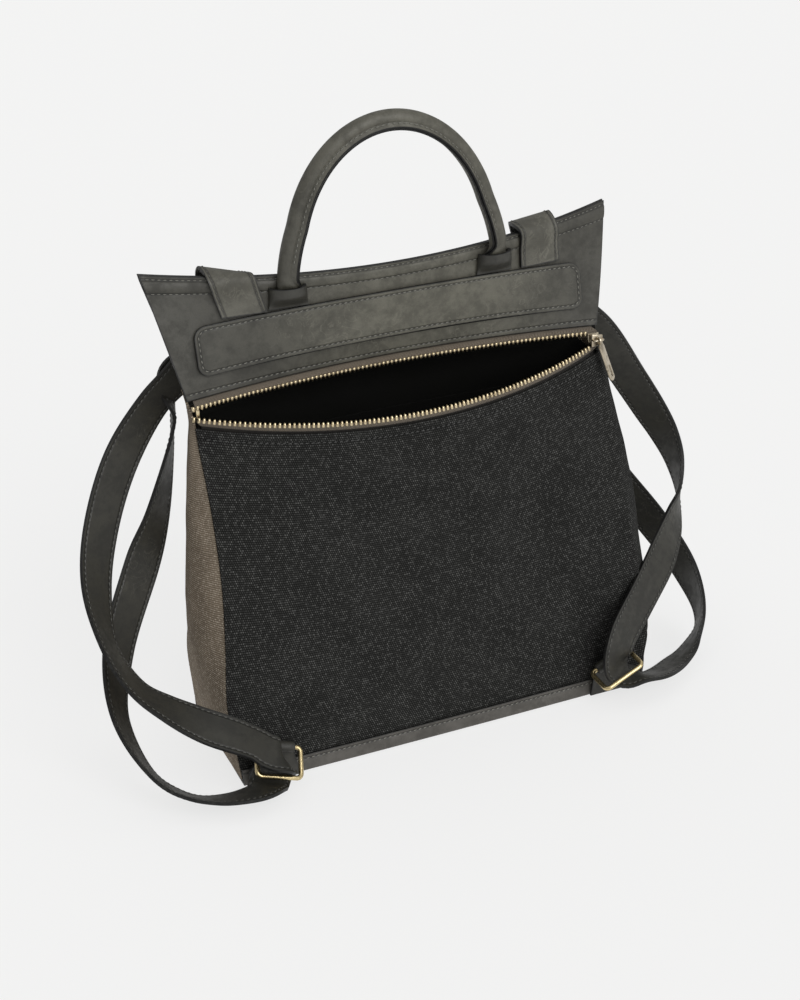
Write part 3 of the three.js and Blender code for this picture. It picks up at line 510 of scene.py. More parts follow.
def outline(half_x, half_y, radius, steps):
    """A rounded oblong as points, anticlockwise from its right side."""
    points = []
    for sx, sy, start in ((1, 1, 0), (-1, 1, 90), (-1, -1, 180), (1, -1, 270)):
        for i in range(steps + 1):
            turn = math.radians(start + 90 * i / steps)
            points.append((sx * (half_x - radius) + radius * math.cos(turn),
                           sy * (half_y - radius) + radius * math.sin(turn)))
    return points


def edge_distance(x, y, half_x, half_y, radius):
    qx, qy = abs(x) - half_x + radius, abs(y) - half_y + radius
    return radius - math.hypot(max(qx, 0), max(qy, 0)) - min(max(qx, qy), 0)


def bevelled(bm, verts, width, segments=1, clamped=False):
    """Rounds the edges that meet at verts."""
    edges = list({e for v in verts for e in v.link_edges})
    bmesh.ops.bevel(bm, geom=edges, offset=width, segments=segments, profile=0.5, affect="EDGES", material=-1,
                    clamp_overlap=clamped)


def block(bm, size, at, rounded, segments=1):
    """A box with rounded edges around a place, added to bm. All in millimetres."""
    matrix = Matrix.Translation(MM * at) @ Matrix.Diagonal((*[MM * s for s in size], 1))
    made = bmesh.ops.create_cube(bm, size=1.0, matrix=matrix)
    bevelled(bm, made["verts"], rounded * MM, segments, clamped=True)


def joined(bm, other):
    """Adds another mesh to bm."""
    mesh = bpy.data.meshes.new("joined")
    other.to_mesh(mesh)
    other.free()
    bm.from_mesh(mesh)
    bpy.data.meshes.remove(mesh)


def piece(bm, name, materials, slot, nodes=(), body="bag", wall=0.0, offset=-1.0, rounded=0.0):
    """Makes a named object of bm, walled and rounded, riding on its body. The rim of a wall takes the second
    material."""
    for face in bm.faces:
        face.smooth = True
    mesh = bpy.data.meshes.new(name)
    bm.to_mesh(mesh)
    bm.free()
    made = bpy.data.objects.new(name, mesh)
    bpy.context.scene.collection.objects.link(made)
    for material in materials:
        mesh.materials.append(material)
    if wall:
        thick = made.modifiers.new("wall", "SOLIDIFY")
        thick.thickness = wall * MM
        thick.offset = offset
        thick.use_quality_normals = True
        thick.material_offset_rim = 1 if len(materials) > 1 else 0
    if rounded:
        soft = made.modifiers.new("rounded", "BEVEL")
        soft.width = rounded * MM
        soft.segments = 2
        soft.limit_method = "ANGLE"
        soft.angle_limit = math.radians(50)
        soft.harden_normals = True
    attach(made, body)
    if nodes:
        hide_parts(*nodes)
    return made


def stitches(name, lines, material, slot, pitch=STITCH["pitch"]):
    """One object of sewn rows. Each line is its points and the way out of the surface at each."""
    bm = bmesh.new()
    thread = bm.verts.layers.float.new("thread")
    sizes = [MM * STITCH[way] / 2 for way in ("wide", "high", "long")]
    for points, outs in lines:
        lengths = running(points)
        count = max(1, round(lengths[-1] / pitch))
        for k, share in steps_along(lengths, [lengths[-1] * (i + 0.5) / count for i in range(count)]):
            out = outs[k].lerp(outs[k + 1], share).normalized()
            along = (points[k + 1] - points[k]).normalized()
            along = (along + out.cross(along).normalized() * STITCH["slant"]).normalized()
            side = out.cross(along).normalized()
            at = MM * (points[k].lerp(points[k + 1], share) + out * STITCH["proud"])
            basis = Matrix([size * way for size, way in zip(sizes, (side, along.cross(side), along))])
            made = bmesh.ops.create_uvsphere(bm, u_segments=6, v_segments=4, radius=1.0,
                                             matrix=Matrix.Translation(at) @ basis.transposed().to_4x4())
            for vert in made["verts"]:
                vert[thread] = (vert.co - at).dot(along) / sizes[-1]
    return piece(bm, name, [material], slot)


def face_line(place, pairs):
    """Points and outward directions of place(u, v) along the given pairs."""
    step = 0.01
    points, outs = [], []
    for u, v in pairs:
        du = place(u + step, v) - place(u - step, v)
        dv = place(u, v + step) - place(u, v - step)
        points.append(place(u, v))
        outs.append(du.cross(dv).normalized())
    return points, outs


# Materials
def node(tree, kind, values=None, **settings):
    made = tree.nodes.new("ShaderNode" + kind)
    for name, value in settings.items():
        setattr(made, name, value)
    for key, value in (values or {}).items():
        if isinstance(value, bpy.types.NodeSocket):
            tree.links.new(value, made.inputs[key])
        else:
            made.inputs[key].default_value = value
    return made


def calc(tree, operation, a, b=0.0, c=0.0):
    return node(tree, "Math", {0: a, 1: b, 2: c}, operation=operation).outputs[0]


def between(tree, value, low, high, to_low=0.0, to_high=1.0):
    made = node(tree, "MapRange", {"Value": value, "From Min": low, "From Max": high, "To Min": to_low,
                                   "To Max": to_high}, interpolation_type="SMOOTHSTEP")
    return made.outputs["Result"]


def blend(tree, share, a, b):
    """Mixes two colours, each a link or red, green and blue."""
    a, b = ((*c, 1) if isinstance(c, tuple) else c for c in (a, b))
    return node(tree, "Mix", {0: share, 6: a, 7: b}, data_type="RGBA", blend_type="MIX").outputs[2]


def scaled(tree, colour, share):
    return node(tree, "VectorMath", {0: colour, "Scale": share}, operation="SCALE").outputs["Vector"]


def speckle(tree, place, scale, detail=2.0, rough=0.5, twist=0.0):
    made = node(tree, "TexNoise", {"Vector": place, "Scale": scale, "Detail": detail, "Roughness": rough,
                                   "Distortion": twist})
    return made.outputs["Fac"]


def finish_group(name, inputs, outputs):
    tree = bpy.data.node_groups.new(name, "ShaderNodeTree")
    for label, kind in inputs:
        tree.interface.new_socket(label, in_out="INPUT", socket_type="NodeSocket" + kind)
    for label in outputs:
        tree.interface.new_socket(label, in_out="OUTPUT", socket_type="NodeSocketFloat")
    return tree, tree.nodes.new("NodeGroupInput").outputs, tree.nodes.new("NodeGroupOutput").inputs


def canvas_weave():
    """Coarse weave: a raised dot at each crossing, some of them pale. Place is the flat cut in metres."""
    tree, given, out = finish_group("canvas_weave", [("Place", "Vector"), ("Pitch", "Float")],
                                    ["Thread", "Fleck", "Cloud"])
    yarns = scaled(tree, given["Place"], calc(tree, "DIVIDE", 1.0, given["Pitch"]))
    wander = calc(tree, "MULTIPLY", speckle(tree, yarns, 0.11, 2.0), 0.9)
    split = node(tree, "SeparateXYZ", {0: yarns}).outputs
    down = calc(tree, "ADD", split["Y"], wander)
    line = calc(tree, "FLOOR", down)
    across = calc(tree, "ADD", calc(tree, "MULTIPLY_ADD", line, 0.37, split["X"]), wander)
    cell = node(tree, "CombineXYZ", {0: calc(tree, "FLOOR", across), 1: line}).outputs["Vector"]
    dot_x = calc(tree, "SUBTRACT", calc(tree, "FRACT", across), 0.5)
    dot_y = calc(tree, "SUBTRACT", calc(tree, "FRACT", down), 0.5)
    away = calc(tree, "SQRT", calc(tree, "MULTIPLY_ADD", dot_x, dot_x, calc(tree, "MULTIPLY", dot_y, dot_y)))
    dot = between(tree, away, 0.14, 0.52, 1.0, 0.0)
    own = node(tree, "TexWhiteNoise", {"Vector": cell}, noise_dimensions="2D").outputs["Value"]
    cloud = speckle(tree, given["Place"], 24.0, 3.0, 0.6)
    tree.links.new(dot, out["Thread"])
    worn = calc(tree, "POWER", own, between(tree, cloud, 0.35, 0.65, 3.2, 2.2))
    tree.links.new(calc(tree, "MULTIPLY", dot, worn), out["Fleck"])
    tree.links.new(cloud, out["Cloud"])
    return tree


def nubuck_grain():
    """Waxed hide: cloudy patches, thin pale creases and a fine nap. Place is in metres."""
    tree, given, out = finish_group("nubuck_grain", [("Place", "Vector")], ["Mottle", "Nap", "Crease"])
    broad = speckle(tree, given["Place"], 34.0, 5.0, 0.62, 0.6)
    small = speckle(tree, given["Place"], 170.0, 4.0, 0.65, 0.3)
    mottle = calc(tree, "MULTIPLY_ADD", small, 0.4, calc(tree, "MULTIPLY", broad, 0.6))
    tree.links.new(between(tree, mottle, 0.37, 0.63), out["Mottle"])
    tree.links.new(speckle(tree, given["Place"], 1500.0, 3.0, 0.7), out["Nap"])
    fold = speckle(tree, given["Place"], 60.0, 4.0, 0.55, 1.4)
    line = between(tree, calc(tree, "ABSOLUTE", calc(tree, "SUBTRACT", fold, 0.5)), 0.0, 0.022, 1.0, 0.0)
    shown = between(tree, speckle(tree, given["Place"], 21.0, 2.0), 0.48, 0.66)
    tree.links.new(calc(tree, "MULTIPLY", line, shown), out["Crease"])
    return tree


def sewn_edge():
    """Paint that has run onto the face from a cut edge, and the pressed groove under a row of stitches, from
    the piece's own marks."""
    tree, given, out = finish_group("sewn_edge", [("Place", "Vector"), ("Edge", "Float"), ("Row", "Float")],
                                    ["Paint", "Groove"])
    rough = calc(tree, "MULTIPLY", speckle(tree, given["Place"], 420.0, 2.0), 0.7)
    away = calc(tree, "ADD", given["Edge"], rough)
    tree.links.new(between(tree, away, 0.75, 1.25, 1.0, 0.0), out["Paint"])
    tree.links.new(between(tree, given["Row"], 0.3, 1.15, 1.0, 0.0), out["Groove"])
    return tree


def tape_herringbone():
    """Woven zip tape, ribs turning back at each stripe. Place is the flat cut in metres."""
    tree, given, out = finish_group("tape_herringbone", [("Place", "Vector")], ["Rib", "Yarn"])
    split = node(tree, "SeparateXYZ", {0: given["Place"]}).outputs
    turn = calc(tree, "PINGPONG", calc(tree, "MULTIPLY", split["Y"], 1000.0), TAPE_RIB["stripe"])
    climb = calc(tree, "MULTIPLY_ADD", split["X"], 1000.0 / TAPE_RIB["pitch"], turn)
    rib = calc(tree, "SINE", calc(tree, "MULTIPLY", climb, 2 * math.pi))
    tree.links.new(calc(tree, "MULTIPLY_ADD", rib, 0.5, 0.5), out["Rib"])
    tree.links.new(speckle(tree, given["Place"], 900.0, 2.0), out["Yarn"])
    return tree


WEAVE, NUBUCK, SEWN, HERRINGBONE = canvas_weave(), nubuck_grain(), sewn_edge(), tape_herringbone()


def shade(name, rough, **constants):
    made = bpy.data.materials.new(name)
    made.use_nodes = True
    inputs = made.node_tree.nodes["Principled BSDF"].inputs
    inputs["Roughness"].default_value = rough
    for label, value in constants.items():
        inputs[label.replace("_", " ").title().replace("Ior", "IOR")].default_value = value
    return made, made.node_tree


def grouped(tree, group, values):
    return node(tree, "Group", values, node_tree=group).outputs


def marked(tree, name):
    return node(tree, "Attribute", attribute_name=name).outputs["Fac"]


def cut_place(tree):
    return node(tree, "UVMap", uv_map="cut").outputs["UV"]


def object_place(tree):
    return node(tree, "TexCoord").outputs["Object"]


def coated(made, colour, height, deep, strength, rough=None):
    """Links a colour, a bump and, where one is given, a roughness to the material's shader."""
    tree = made.node_tree
    inputs = tree.nodes["Principled BSDF"].inputs
    bump = node(tree, "Bump", {"Height": height, "Distance": deep, "Strength": strength})
    tree.links.new(colour, inputs["Base Color"])
    tree.links.new(bump.outputs["Normal"], inputs["Normal"])
    if rough is not None:
        tree.links.new(rough, inputs["Roughness"])
    return made


def canvas_cloth(name, dark, pale, fleck):
    made, tree = shade(name, 0.92, specular_ior_level=0.15)
    weave = grouped(tree, WEAVE, {"Place": cut_place(tree), "Pitch": YARN["canvas"]})
    colour = blend(tree, weave["Thread"], dark, pale)
    colour = scaled(tree, colour, between(tree, weave["Cloud"], 0.3, 0.7, 0.84, 1.14))
    colour = blend(tree, weave["Fleck"], colour, fleck)
    # Painted shade in the groove along the row of stitches
    colour = scaled(tree, colour, between(tree, marked(tree, "row"), 0.3, 1.3, 0.6, 1.0))
    rough = between(tree, weave["Thread"], 0.0, 1.0, 0.98, 0.86)
    return coated(made, colour, weave["Thread"], 0.0003, 0.6, rough)


def leather(name, dark, pale, worn, lit_middle=None):
    made, tree = shade(name, HIDE_ROUGH, specular_ior_level=0.5)
    place = object_place(tree)
    hide = grouped(tree, NUBUCK, {"Place": place})
    seam = grouped(tree, SEWN, {"Place": place, "Edge": marked(tree, "edge"), "Row": marked(tree, "row")})
    colour = blend(tree, hide["Mottle"], dark, pale)
    colour = blend(tree, calc(tree, "MULTIPLY", hide["Crease"], 0.45), colour, worn)
    # Painted light: the hide is paler near the middle of the top and darker towards the ends
    if lit_middle:
        x = node(tree, "SeparateXYZ", {0: place}).outputs["X"]
        away = calc(tree, "ABSOLUTE", calc(tree, "SUBTRACT", x, lit_middle["x"]))
        share = between(tree, away, lit_middle["flat"], lit_middle["fade"], lit_middle["middle"], lit_middle["ends"])
        colour = scaled(tree, colour, share)
    colour = scaled(tree, colour, between(tree, hide["Nap"], 0.25, 0.75, 0.88, 1.1))
    colour = blend(tree, calc(tree, "MULTIPLY", seam["Paint"], 0.85), colour, RUN_PAINT)
    # Painted shade in the pressed groove under each row of stitches
    colour = scaled(tree, colour, calc(tree, "MULTIPLY_ADD", seam["Groove"], -0.55, 1.0))
    rough = between(tree, hide["Mottle"], 0.0, 1.0, HIDE_ROUGH + 0.08, HIDE_ROUGH - 0.08)
    height = calc(tree, "MULTIPLY_ADD", hide["Nap"], 0.25, calc(tree, "MULTIPLY", hide["Crease"], 0.12))
    height = calc(tree, "MULTIPLY_ADD", seam["Groove"], -0.8, height)
    return coated(made, colour, height, 0.0004, 0.8, rough)


def painted_edge():
    made, tree = shade("edge_paint", 0.5, specular_ior_level=0.3)
    rub = speckle(tree, object_place(tree), 320.0, 3.0)
    colour = blend(tree, between(tree, rub, 0.45, 0.75), (0.004, 0.004, 0.0037), (0.018, 0.0175, 0.0155))
    return coated(made, colour, rub, 0.0002, 0.5, between(tree, rub, 0.3, 0.7, 0.42, 0.62))


def sewing_thread(name, dark, pale):
    made, tree = shade(name, 0.7, sheen_weight=0.2, sheen_roughness=0.4)
    along = marked(tree, "thread")
    ply = calc(tree, "SINE", calc(tree, "MULTIPLY", along, 11.0))
    # Painted shade: each stitch darkens towards its ends, where it sinks into its hole
    ends = between(tree, calc(tree, "ABSOLUTE", along), 0.45, 0.95, 0.0, 1.0)
    colour = blend(tree, calc(tree, "MULTIPLY_ADD", ply, 0.25, 0.6), dark, pale)
    colour = blend(tree, calc(tree, "MULTIPLY", ends, 0.85), colour, tuple(c * 0.3 for c in dark))
    return coated(made, colour, ply, 0.0001, 0.6)


def zip_cloth():
    made, tree = shade("zip_tape", 0.9, sheen_weight=0.1, sheen_roughness=0.6, specular_ior_level=0.25)
    cut = cut_place(tree)
    weave = grouped(tree, HERRINGBONE, {"Place": cut})
    rib = between(tree, calc(tree, "MULTIPLY_ADD", weave["Yarn"], 0.5, weave["Rib"]), 0.2, 1.2)
    colour = blend(tree, rib, (0.055, 0.040, 0.028), (0.185, 0.155, 0.118))
    # Painted shadow on the tape along the yoke's lower edge and the front panel's top edge
    painted_shadow = between(tree, node(tree, "SeparateXYZ", {0: cut}).outputs["Y"], *TAPE_SHADE, 0.08, 1.0)
    rough = between(tree, rib, 0.0, 1.0, 0.95, 0.8)
    return coated(made, scaled(tree, colour, painted_shadow), rib, 0.0003, 0.8, rough)


def inside_cloth():
    made, tree = shade("lining_cloth", 0.9, specular_ior_level=0.12)
    weave = grouped(tree, WEAVE, {"Place": cut_place(tree), "Pitch": YARN["lining"]})
    share = between(tree, weave["Thread"], 0.1, 0.8)
    colour = blend(tree, share, (0.002, 0.002, 0.0017), (0.007, 0.0069, 0.006))
    return coated(made, colour, weave["Thread"], 0.0001, 0.5, between(tree, weave["Cloud"], 0.3, 0.7, 0.75, 0.92))


def antique_brass(name, bright, dull, rough):
    made, tree = shade(name, rough, metallic=1.0)
    place = object_place(tree)
    film = speckle(tree, place, 260.0, 4.0, 0.65)
    drawn = node(tree, "Mapping", {"Vector": place, "Scale": (1.0, 1.0, 3.0)}).outputs["Vector"]
    rub = speckle(tree, drawn, 700.0, 2.0)
    tarnish = between(tree, calc(tree, "MULTIPLY_ADD", rub, 0.2, film), 0.58, 0.92)
    colour = blend(tree, tarnish, bright, dull)
    return coated(made, colour, rub, 0.00005, 0.25, between(tree, tarnish, 0.0, 1.0, rough, rough + 0.22))


CHARCOAL = canvas_cloth("charcoal_canvas", (0.0055, 0.0055, 0.005), (0.028, 0.028, 0.0265),
                        (0.088, 0.088, 0.084))
TAUPE = canvas_cloth("taupe_canvas", (0.098, 0.076, 0.054), (0.250, 0.206, 0.155), (0.46, 0.40, 0.325))
NUBUCK_HIDE = leather("nubuck", (0.040, 0.038, 0.029), (0.072, 0.0685, 0.0535), (0.125, 0.119, 0.095), PAINTED_LIGHT_MIDDLE)
PATCH_HIDE = leather("patch_nubuck", (0.046, 0.044, 0.034), (0.080, 0.0765, 0.0595), (0.138, 0.131, 0.105),
                     PAINTED_LIGHT_MIDDLE)
# Painted light: each strap's loop over the top edge is a lighter copy of the strap leather, lit from above
LIT_LOOP_HIDE = leather("loop_leather_lit", (0.054, 0.0515, 0.040), (0.088, 0.084, 0.0665), (0.140, 0.133, 0.107))
STRAP_HIDE = leather("strap_leather", (0.014, 0.0133, 0.010), (0.028, 0.0267, 0.0205), (0.062, 0.0587, 0.046))
BASE_HIDE = leather("base_leather", (0.044, 0.0402, 0.034), (0.076, 0.070, 0.061), (0.120, 0.112, 0.099))
TAB_HIDE = leather("tab_leather", (0.016, 0.0153, 0.012), (0.030, 0.0287, 0.0228), (0.065, 0.062, 0.050))
EDGE_PAINT = painted_edge()
LEATHER_THREAD = sewing_thread("leather_thread", (0.075, 0.073, 0.062), (0.21, 0.205, 0.175))
STRAP_THREAD = sewing_thread("strap_thread", (0.030, 0.030, 0.026), (0.098, 0.096, 0.083))
CANVAS_THREAD = sewing_thread("canvas_thread", (0.018, 0.018, 0.017), (0.058, 0.058, 0.055))
TAPE_CLOTH = zip_cloth()
INSIDE_CLOTH = inside_cloth()
BRASS = antique_brass("brass", (0.64, 0.52, 0.29), (0.28, 0.215, 0.11), 0.26)
PULL_BRASS = antique_brass("pull_brass", (0.52, 0.455, 0.35), (0.18, 0.15, 0.11), 0.32)
ZIP_BRASS = antique_brass("zip_brass", (0.68, 0.57, 0.37), (0.20, 0.155, 0.09), 0.3)


# Canvas walls and lining
def sewn_cloth(bm, name, cloth, slot, flat, nodes=(), rests_on="base", most=None, **walls):
    """A sheet of cloth held tight by its seams. flat, the size it is cut to, and most, its area, in metres, are
    not used.
    """
    area = sum(face.calc_area() for face in bm.faces)
    made = piece(bm, f"{name}_cloth", [cloth], slot, nodes, **walls)


def slackness(u, v, foot, top, sides):
    """1 in the middle of a wall, easing to 0 at its sewn edges."""
    return smooth(0, foot, v) * smooth(0, top, 1 - v) * smooth(0, sides, 1 - abs(u))


def swell(z):
    """How far the right seam bellies out past the cut, mm."""
    low = max(i for i in range(len(SWELL) - 1) if SWELL[i][0] <= z)
    (z0, a), (z1, b) = SWELL[low], SWELL[low + 1]
    return mix(a, b, smooth(z0, z1, z))


def front_cloth(u, v):
    z = mix(WALL_FOOT, front_top(u), v)
    at = front_face(u, z)
    slack = 0.9 * ripple(at.x, at.z * 0.8, 62, 4.2) + 0.35 * ripple(at.x * 1.6, at.z, 24, 9.1)
    pulls = sum(0.8 * math.exp(-((at.x - x - 0.12 * (at.z - 220)) / 3.2) ** 2) for x in (121, 130.5))
    slack = (slack + pulls * smooth(150, 205, at.z)) * slackness(u, v, 0.08, 0.12, 0.05)
    seam = 0.55 * smooth(0.93, 0.965, u) * (1 - smooth(0.985, 1.0, u))
    return at + Vector((swell(z) * smooth(0.4, 1.0, u), -slack - seam * smooth(0, 0.06, v), 0))


def front_panel():
    def marks(u, v):
        down = (1 - v) * FRONT_HIGH
        return min((1 - abs(u)) * SEAM_HALF, down), abs(down - FRONT_ROW)
    rows = [FRONT_ROW + off for off in (GROOVE["cloth"], 0, -GROOVE["cloth"])]
    vs = spread(0, *[1 - row / FRONT_HIGH for row in rows], 1, step=1 / 64)
    bm = laid_grid(spread(-1, -0.985, 0.93, 0.985, 1, step=2 / 96), vs, front_cloth, flat_cut(160, 235), marks)
    sewn_cloth(bm, "front_panel", CHARCOAL, "charcoal_canvas", (0.325, 0.25), ["front_panel"], wall=CANVAS,
               rounded=0.5)


def back_cloth(u, v):
    z = mix(WALL_FOOT, BACK_TOP_Z, v)
    at = back_face(-u, z)
    slack = 1.2 * ripple(at.x, at.z, 58, 14.6) + 0.4 * ripple(at.x, at.z, 22, 3.3)
    return at + Vector((0, slack * slackness(u, v, 0.08, 0.1, 0.06), 0))


def back_panel():
    bm = laid_grid(spread(-1, 1, step=2 / 90), spread(0, 1, step=1 / 64), back_cloth, flat_cut(160, 255),
                   lambda u, v: ((1 - abs(u)) * SEAM_HALF, FAR))
    sewn_cloth(bm, "back_panel", TAUPE, "taupe_canvas", (0.335, 0.27), ["back_panel"], wall=CANVAS, rounded=0.5)


def gusset_cloth(side):
    def place(u, v):
        z = mix(WALL_FOOT, GUSSET_TOP_Z, v)
        at = side_face(side, side * u, z)
        calm = smooth(0, 0.06, v) * smooth(0, 0.2, 1 - v) * arch(u)
        fold = 1.5 * ripple(at.y * 1.3, at.z * 0.55, 40, 6.4 + side)
        fold += 0.5 * ripple(at.y, at.z, 17, 2.0 + side)
        belly = swell(z) * (1 - smooth(-0.6, 1.0, u)) if side > 0 else 0.0
        return at + Vector((side * fold * calm + belly, 0, 0))
    return place


def gusset(name, side, cloth, slot):
    bm = laid_grid(spread(-1, 1, step=2 / 36), spread(0, 1, step=1 / 70), gusset_cloth(side), flat_cut(62, 275),
                   lambda u, v: ((1 - abs(u)) * GUSSET_HALF, FAR))
    sewn_cloth(bm, name, cloth, slot, (0.125, 0.29), [name], wall=CANVAS, rounded=0.4)


LINING_TURNS = (0.0, 0.36, 0.5, 0.86, 1.0)


def lining_wall(w, v):
    deep = CANVAS + 5 * GAP
    foot = WALL_FOOT + GAP
    k = next(i for i in range(4) if w <= LINING_TURNS[i + 1] + 1e-9)
    u = 2 * (w - LINING_TURNS[k]) / (LINING_TURNS[k + 1] - LINING_TURNS[k]) - 1
    slack = slackness(u, v, 0.15, 0.1, 0.2)
    if k == 0:
        at = front_face(u, mix(foot, front_top(u) - TAPE_TUCK - LINING_BELOW, v), deep)
        fold = 2.0 + 2.0 * ripple(at.x, at.z, 34, 20.5)
        return at + Vector((-u * deep, fold * slack, 0))
    if k == 2:
        at = back_face(-u, mix(foot, LINING_BACK_Z, v), deep)
        fold = 2.0 + 2.4 * ripple(at.x, at.z * 0.7, 38, 31.0)
        return at + Vector((u * deep, -fold * slack, 0))
    side = 1 if k == 1 else -1
    at = side_face(side, side * u, mix(foot, LINING_SIDE_Z, v), deep, deep)
    fold = 1.5 + 1.5 * ripple(at.y, at.z, 26, 40.0 + side)
    return at + Vector((-side * fold * slack, 0, 0))


def lining():
    bm = laid_grid(spread(*LINING_TURNS, step=1 / 120), spread(0, 1, step=1 / 50), lining_wall, flat_cut(800, 235))
    bmesh.ops.remove_doubles(bm, verts=bm.verts, dist=1e-5)
    sewn_cloth(bm, "lining", INSIDE_CLOTH, "lining_cloth", (0.83, 0.25), ["lining"], wall=LINING)


def lining_pocket(u, v):
    z = mix(112, 214 - 3 * arch(u), v)
    at = back_face(-u * 0.6, z, CANVAS + 5 * GAP + LINING + 4.6)
    return at + Vector((0, -1.2 * smooth(0.7, 1, v) * arch(u) - 0.8 * abs(ripple(at.x, at.z, 30, 8)), 0))


def inner_pocket():
    bm = laid_grid(spread(-1, 1, step=2 / 50), spread(0, 0.93, 0.945, 0.96, 1, step=1 / 24),
                   lambda u, v: lining_pocket(-u, v), flat_cut(90, 102))
    sewn_cloth(bm, "inner_pocket", INSIDE_CLOTH, "lining_cloth", (0.185, 0.105), rests_on="lining_cloth",
               most=0.0194, wall=0.8, offset=0.0, rounded=0.25)


front_panel()
back_panel()
gusset("gusset_left", -1, TAUPE, "taupe_canvas")
gusset("gusset_right", 1, CHARCOAL, "charcoal_canvas")
lining()
inner_pocket()


# Base
def base_profile(u):
    """Outside of the base from the front band's top, under the bag, to the back band's top."""
    f0, f1 = (front_face(u, z).y - GAP - LEATHER for z in (0, BAND_H))
    b0, b1 = (back_face(u, z).y + GAP + LEATHER for z in (0, BAND_H))
    front = [(f1, BAND_H), (mix(f0, f1, 0.2), BASE_BEND), (f0 + BASE_NIP, BASE_NIP), (f0 + BASE_BEND, 0)]
    back = [(b0 - BASE_BEND, 0), (b0 - BASE_NIP, BASE_NIP), (mix(b0, b1, 0.2), BASE_BEND), (b1, BAND_H)]
    return front + back


def base_place(u, s):
    line = base_profile(u)
    k = min(int(s), BASE_PARTS - 1)
    (y0, z0), (y1, z1) = line[k], line[k + 1]
    return Vector((front_face(u, 0).x, mix(y0, y1, s - k), mix(z0, z1, s - k)))


def base():
    def marks(u, s):
        down = min(s, BASE_PARTS - s) * (BAND_H - BASE_BEND)
        return min(down, 30.0), abs(down - BAND_ROW)
    stops = spread(0, 0.16, 0.27, 0.38, 1, 2, 3, 3.1, 3.9, 4, 5, 6, 6.62, 6.73, 6.84, 7, step=0.34)
    bm = laid_grid(spread(-1, 1, step=2 / 60), stops, base_place, flat_cut(152, 20), marks)
    bmesh.ops.reverse_faces(bm, faces=bm.faces)
    piece(bm, "base_leather", [BASE_HIDE, EDGE_PAINT], "nubuck", ["base"], wall=LEATHER, rounded=0.4)


base()


# Yoke and what is sewn to it
def hem_swell(d):
    """The folded hem stands up between its two rows of stitches."""
    t = (d - HEM_ROWS[0]) / (HEM_ROWS[1] - HEM_ROWS[0])
    return HEM_RISE * math.sqrt(max(4 * t * (1 - t), 0)) if 0 < t < 1 else 0.0


def yoke_skin(u, d):
    at = yoke_face(u, 1 - d / YOKE_DEEP)
    soft = 0.32 * ripple(at.x, at.z, 36, 51.0) * smooth(0, 6, d) * smooth(0, 6, YOKE_DEEP - d)
    return at + Vector((0, -hem_swell(YOKE_DEEP - d) - soft, 0))


def back_yoke_skin(u, d):
    at = back_yoke_face(-u, 1 - d / YOKE_DEEP)
    soft = 0.5 * ripple(at.x, at.z, 40, 61.0) * smooth(0, 6, d) * smooth(0, 8, YOKE_DEEP - d)
    return at + Vector((0, 0.5 * hem_swell(YOKE_DEEP - d) + soft, 0))


def yoke_marks(u, d):
    top = YOKE_DEEP - d
    near = min(abs(top - HEM_ROWS[0]), abs(top - HEM_ROWS[1]), abs(d - YOKE_FOOT_ROW))
    return min(d, top, (1 - abs(u)) * 150), near


def yoke(name, skin, nodes):
    rows = sorted([YOKE_FOOT_ROW, YOKE_DEEP - HEM_ROWS[0], YOKE_DEEP - HEM_ROWS[1]])
    stops = [0, *[r + off for r in rows for off in (-GROOVE["yoke"], 0, GROOVE["yoke"])], YOKE_DEEP]
    bm = laid_grid(spread(-1, -0.985, 0.985, 1, step=2 / 110), spread(*stops, step=2.6), skin, flat_cut(155, 1),
                   yoke_marks)
    piece(bm, name, [NUBUCK_HIDE, EDGE_PAINT], "nubuck", nodes, wall=LEATHER, rounded=0.45)


def patch_skin(x, h):
    z = PATCH_Z + PATCH_RISE * arch(x / PATCH_HALF) + h
    lift = 1.5 * math.exp(-((x + 25) / 62) ** 2) * smooth(2, -PATCH_HIGH / 2, h)
    crown = 0.35 * arch(min(abs(h) / (PATCH_HIGH / 2), 1)) + 0.25 * ripple(x, z, 30, 71.0)
    return Vector((x, yoke_y(x, z) - SEAT - PATCH_T - crown - lift, z))


def patch_reach(level):
    into = max(abs(level) - (PATCH_HIGH / 2 - PATCH_CORNER), 0)
    return PATCH_HALF - PATCH_CORNER + math.sqrt(max(PATCH_CORNER ** 2 - into ** 2, 0))


def patch():
    half = PATCH_HIGH / 2
    near = [0, PATCH_ROW - GROOVE["patch"], PATCH_ROW, PATCH_ROW + GROOVE["patch"]]
    far = near[::-1]
    us = spread(*[-1 + n / PATCH_HALF for n in near], *[1 - n / PATCH_HALF for n in far], step=0.022)
    vs = spread(*[-half + n for n in near], *[half - n for n in far], step=1.4)

    def marks(u, level):
        away = edge_distance(patch_reach(level) * u, level, PATCH_HALF, half, PATCH_CORNER)
        return max(away, 0.0), abs(away - PATCH_ROW)
    bm = laid_grid(us, vs, lambda u, level: patch_skin(patch_reach(level) * u, level), flat_cut(PATCH_HALF, 1),
                   marks)
    piece(bm, "patch_leather", [PATCH_HIDE, EDGE_PAINT], "nubuck", ["patch"], wall=PATCH_T, rounded=0.5)

    # Strip of edge paint just below the patch: its painted edge, and painted shadow where the patch stands off the
    # yoke
    def foot(u, h):
        x = (PATCH_HALF - PATCH_CORNER) * u
        level = mix(PATCH_FOOT["in"], -PATCH_FOOT["out"] - PATCH_FOOT["sag"] * arch(u), h)
        z = PATCH_Z + PATCH_RISE * arch(x / PATCH_HALF) - half + level
        return Vector((x, yoke_y(x, z) - SEAT, z))
    bm = laid_grid(spread(-1, 1, step=0.02), [1, 0], foot, flat_cut(PATCH_HALF, 1))
    piece(bm, "patch_foot_edge_and_shadow", [EDGE_PAINT], "nubuck", wall=SEAT / 2)


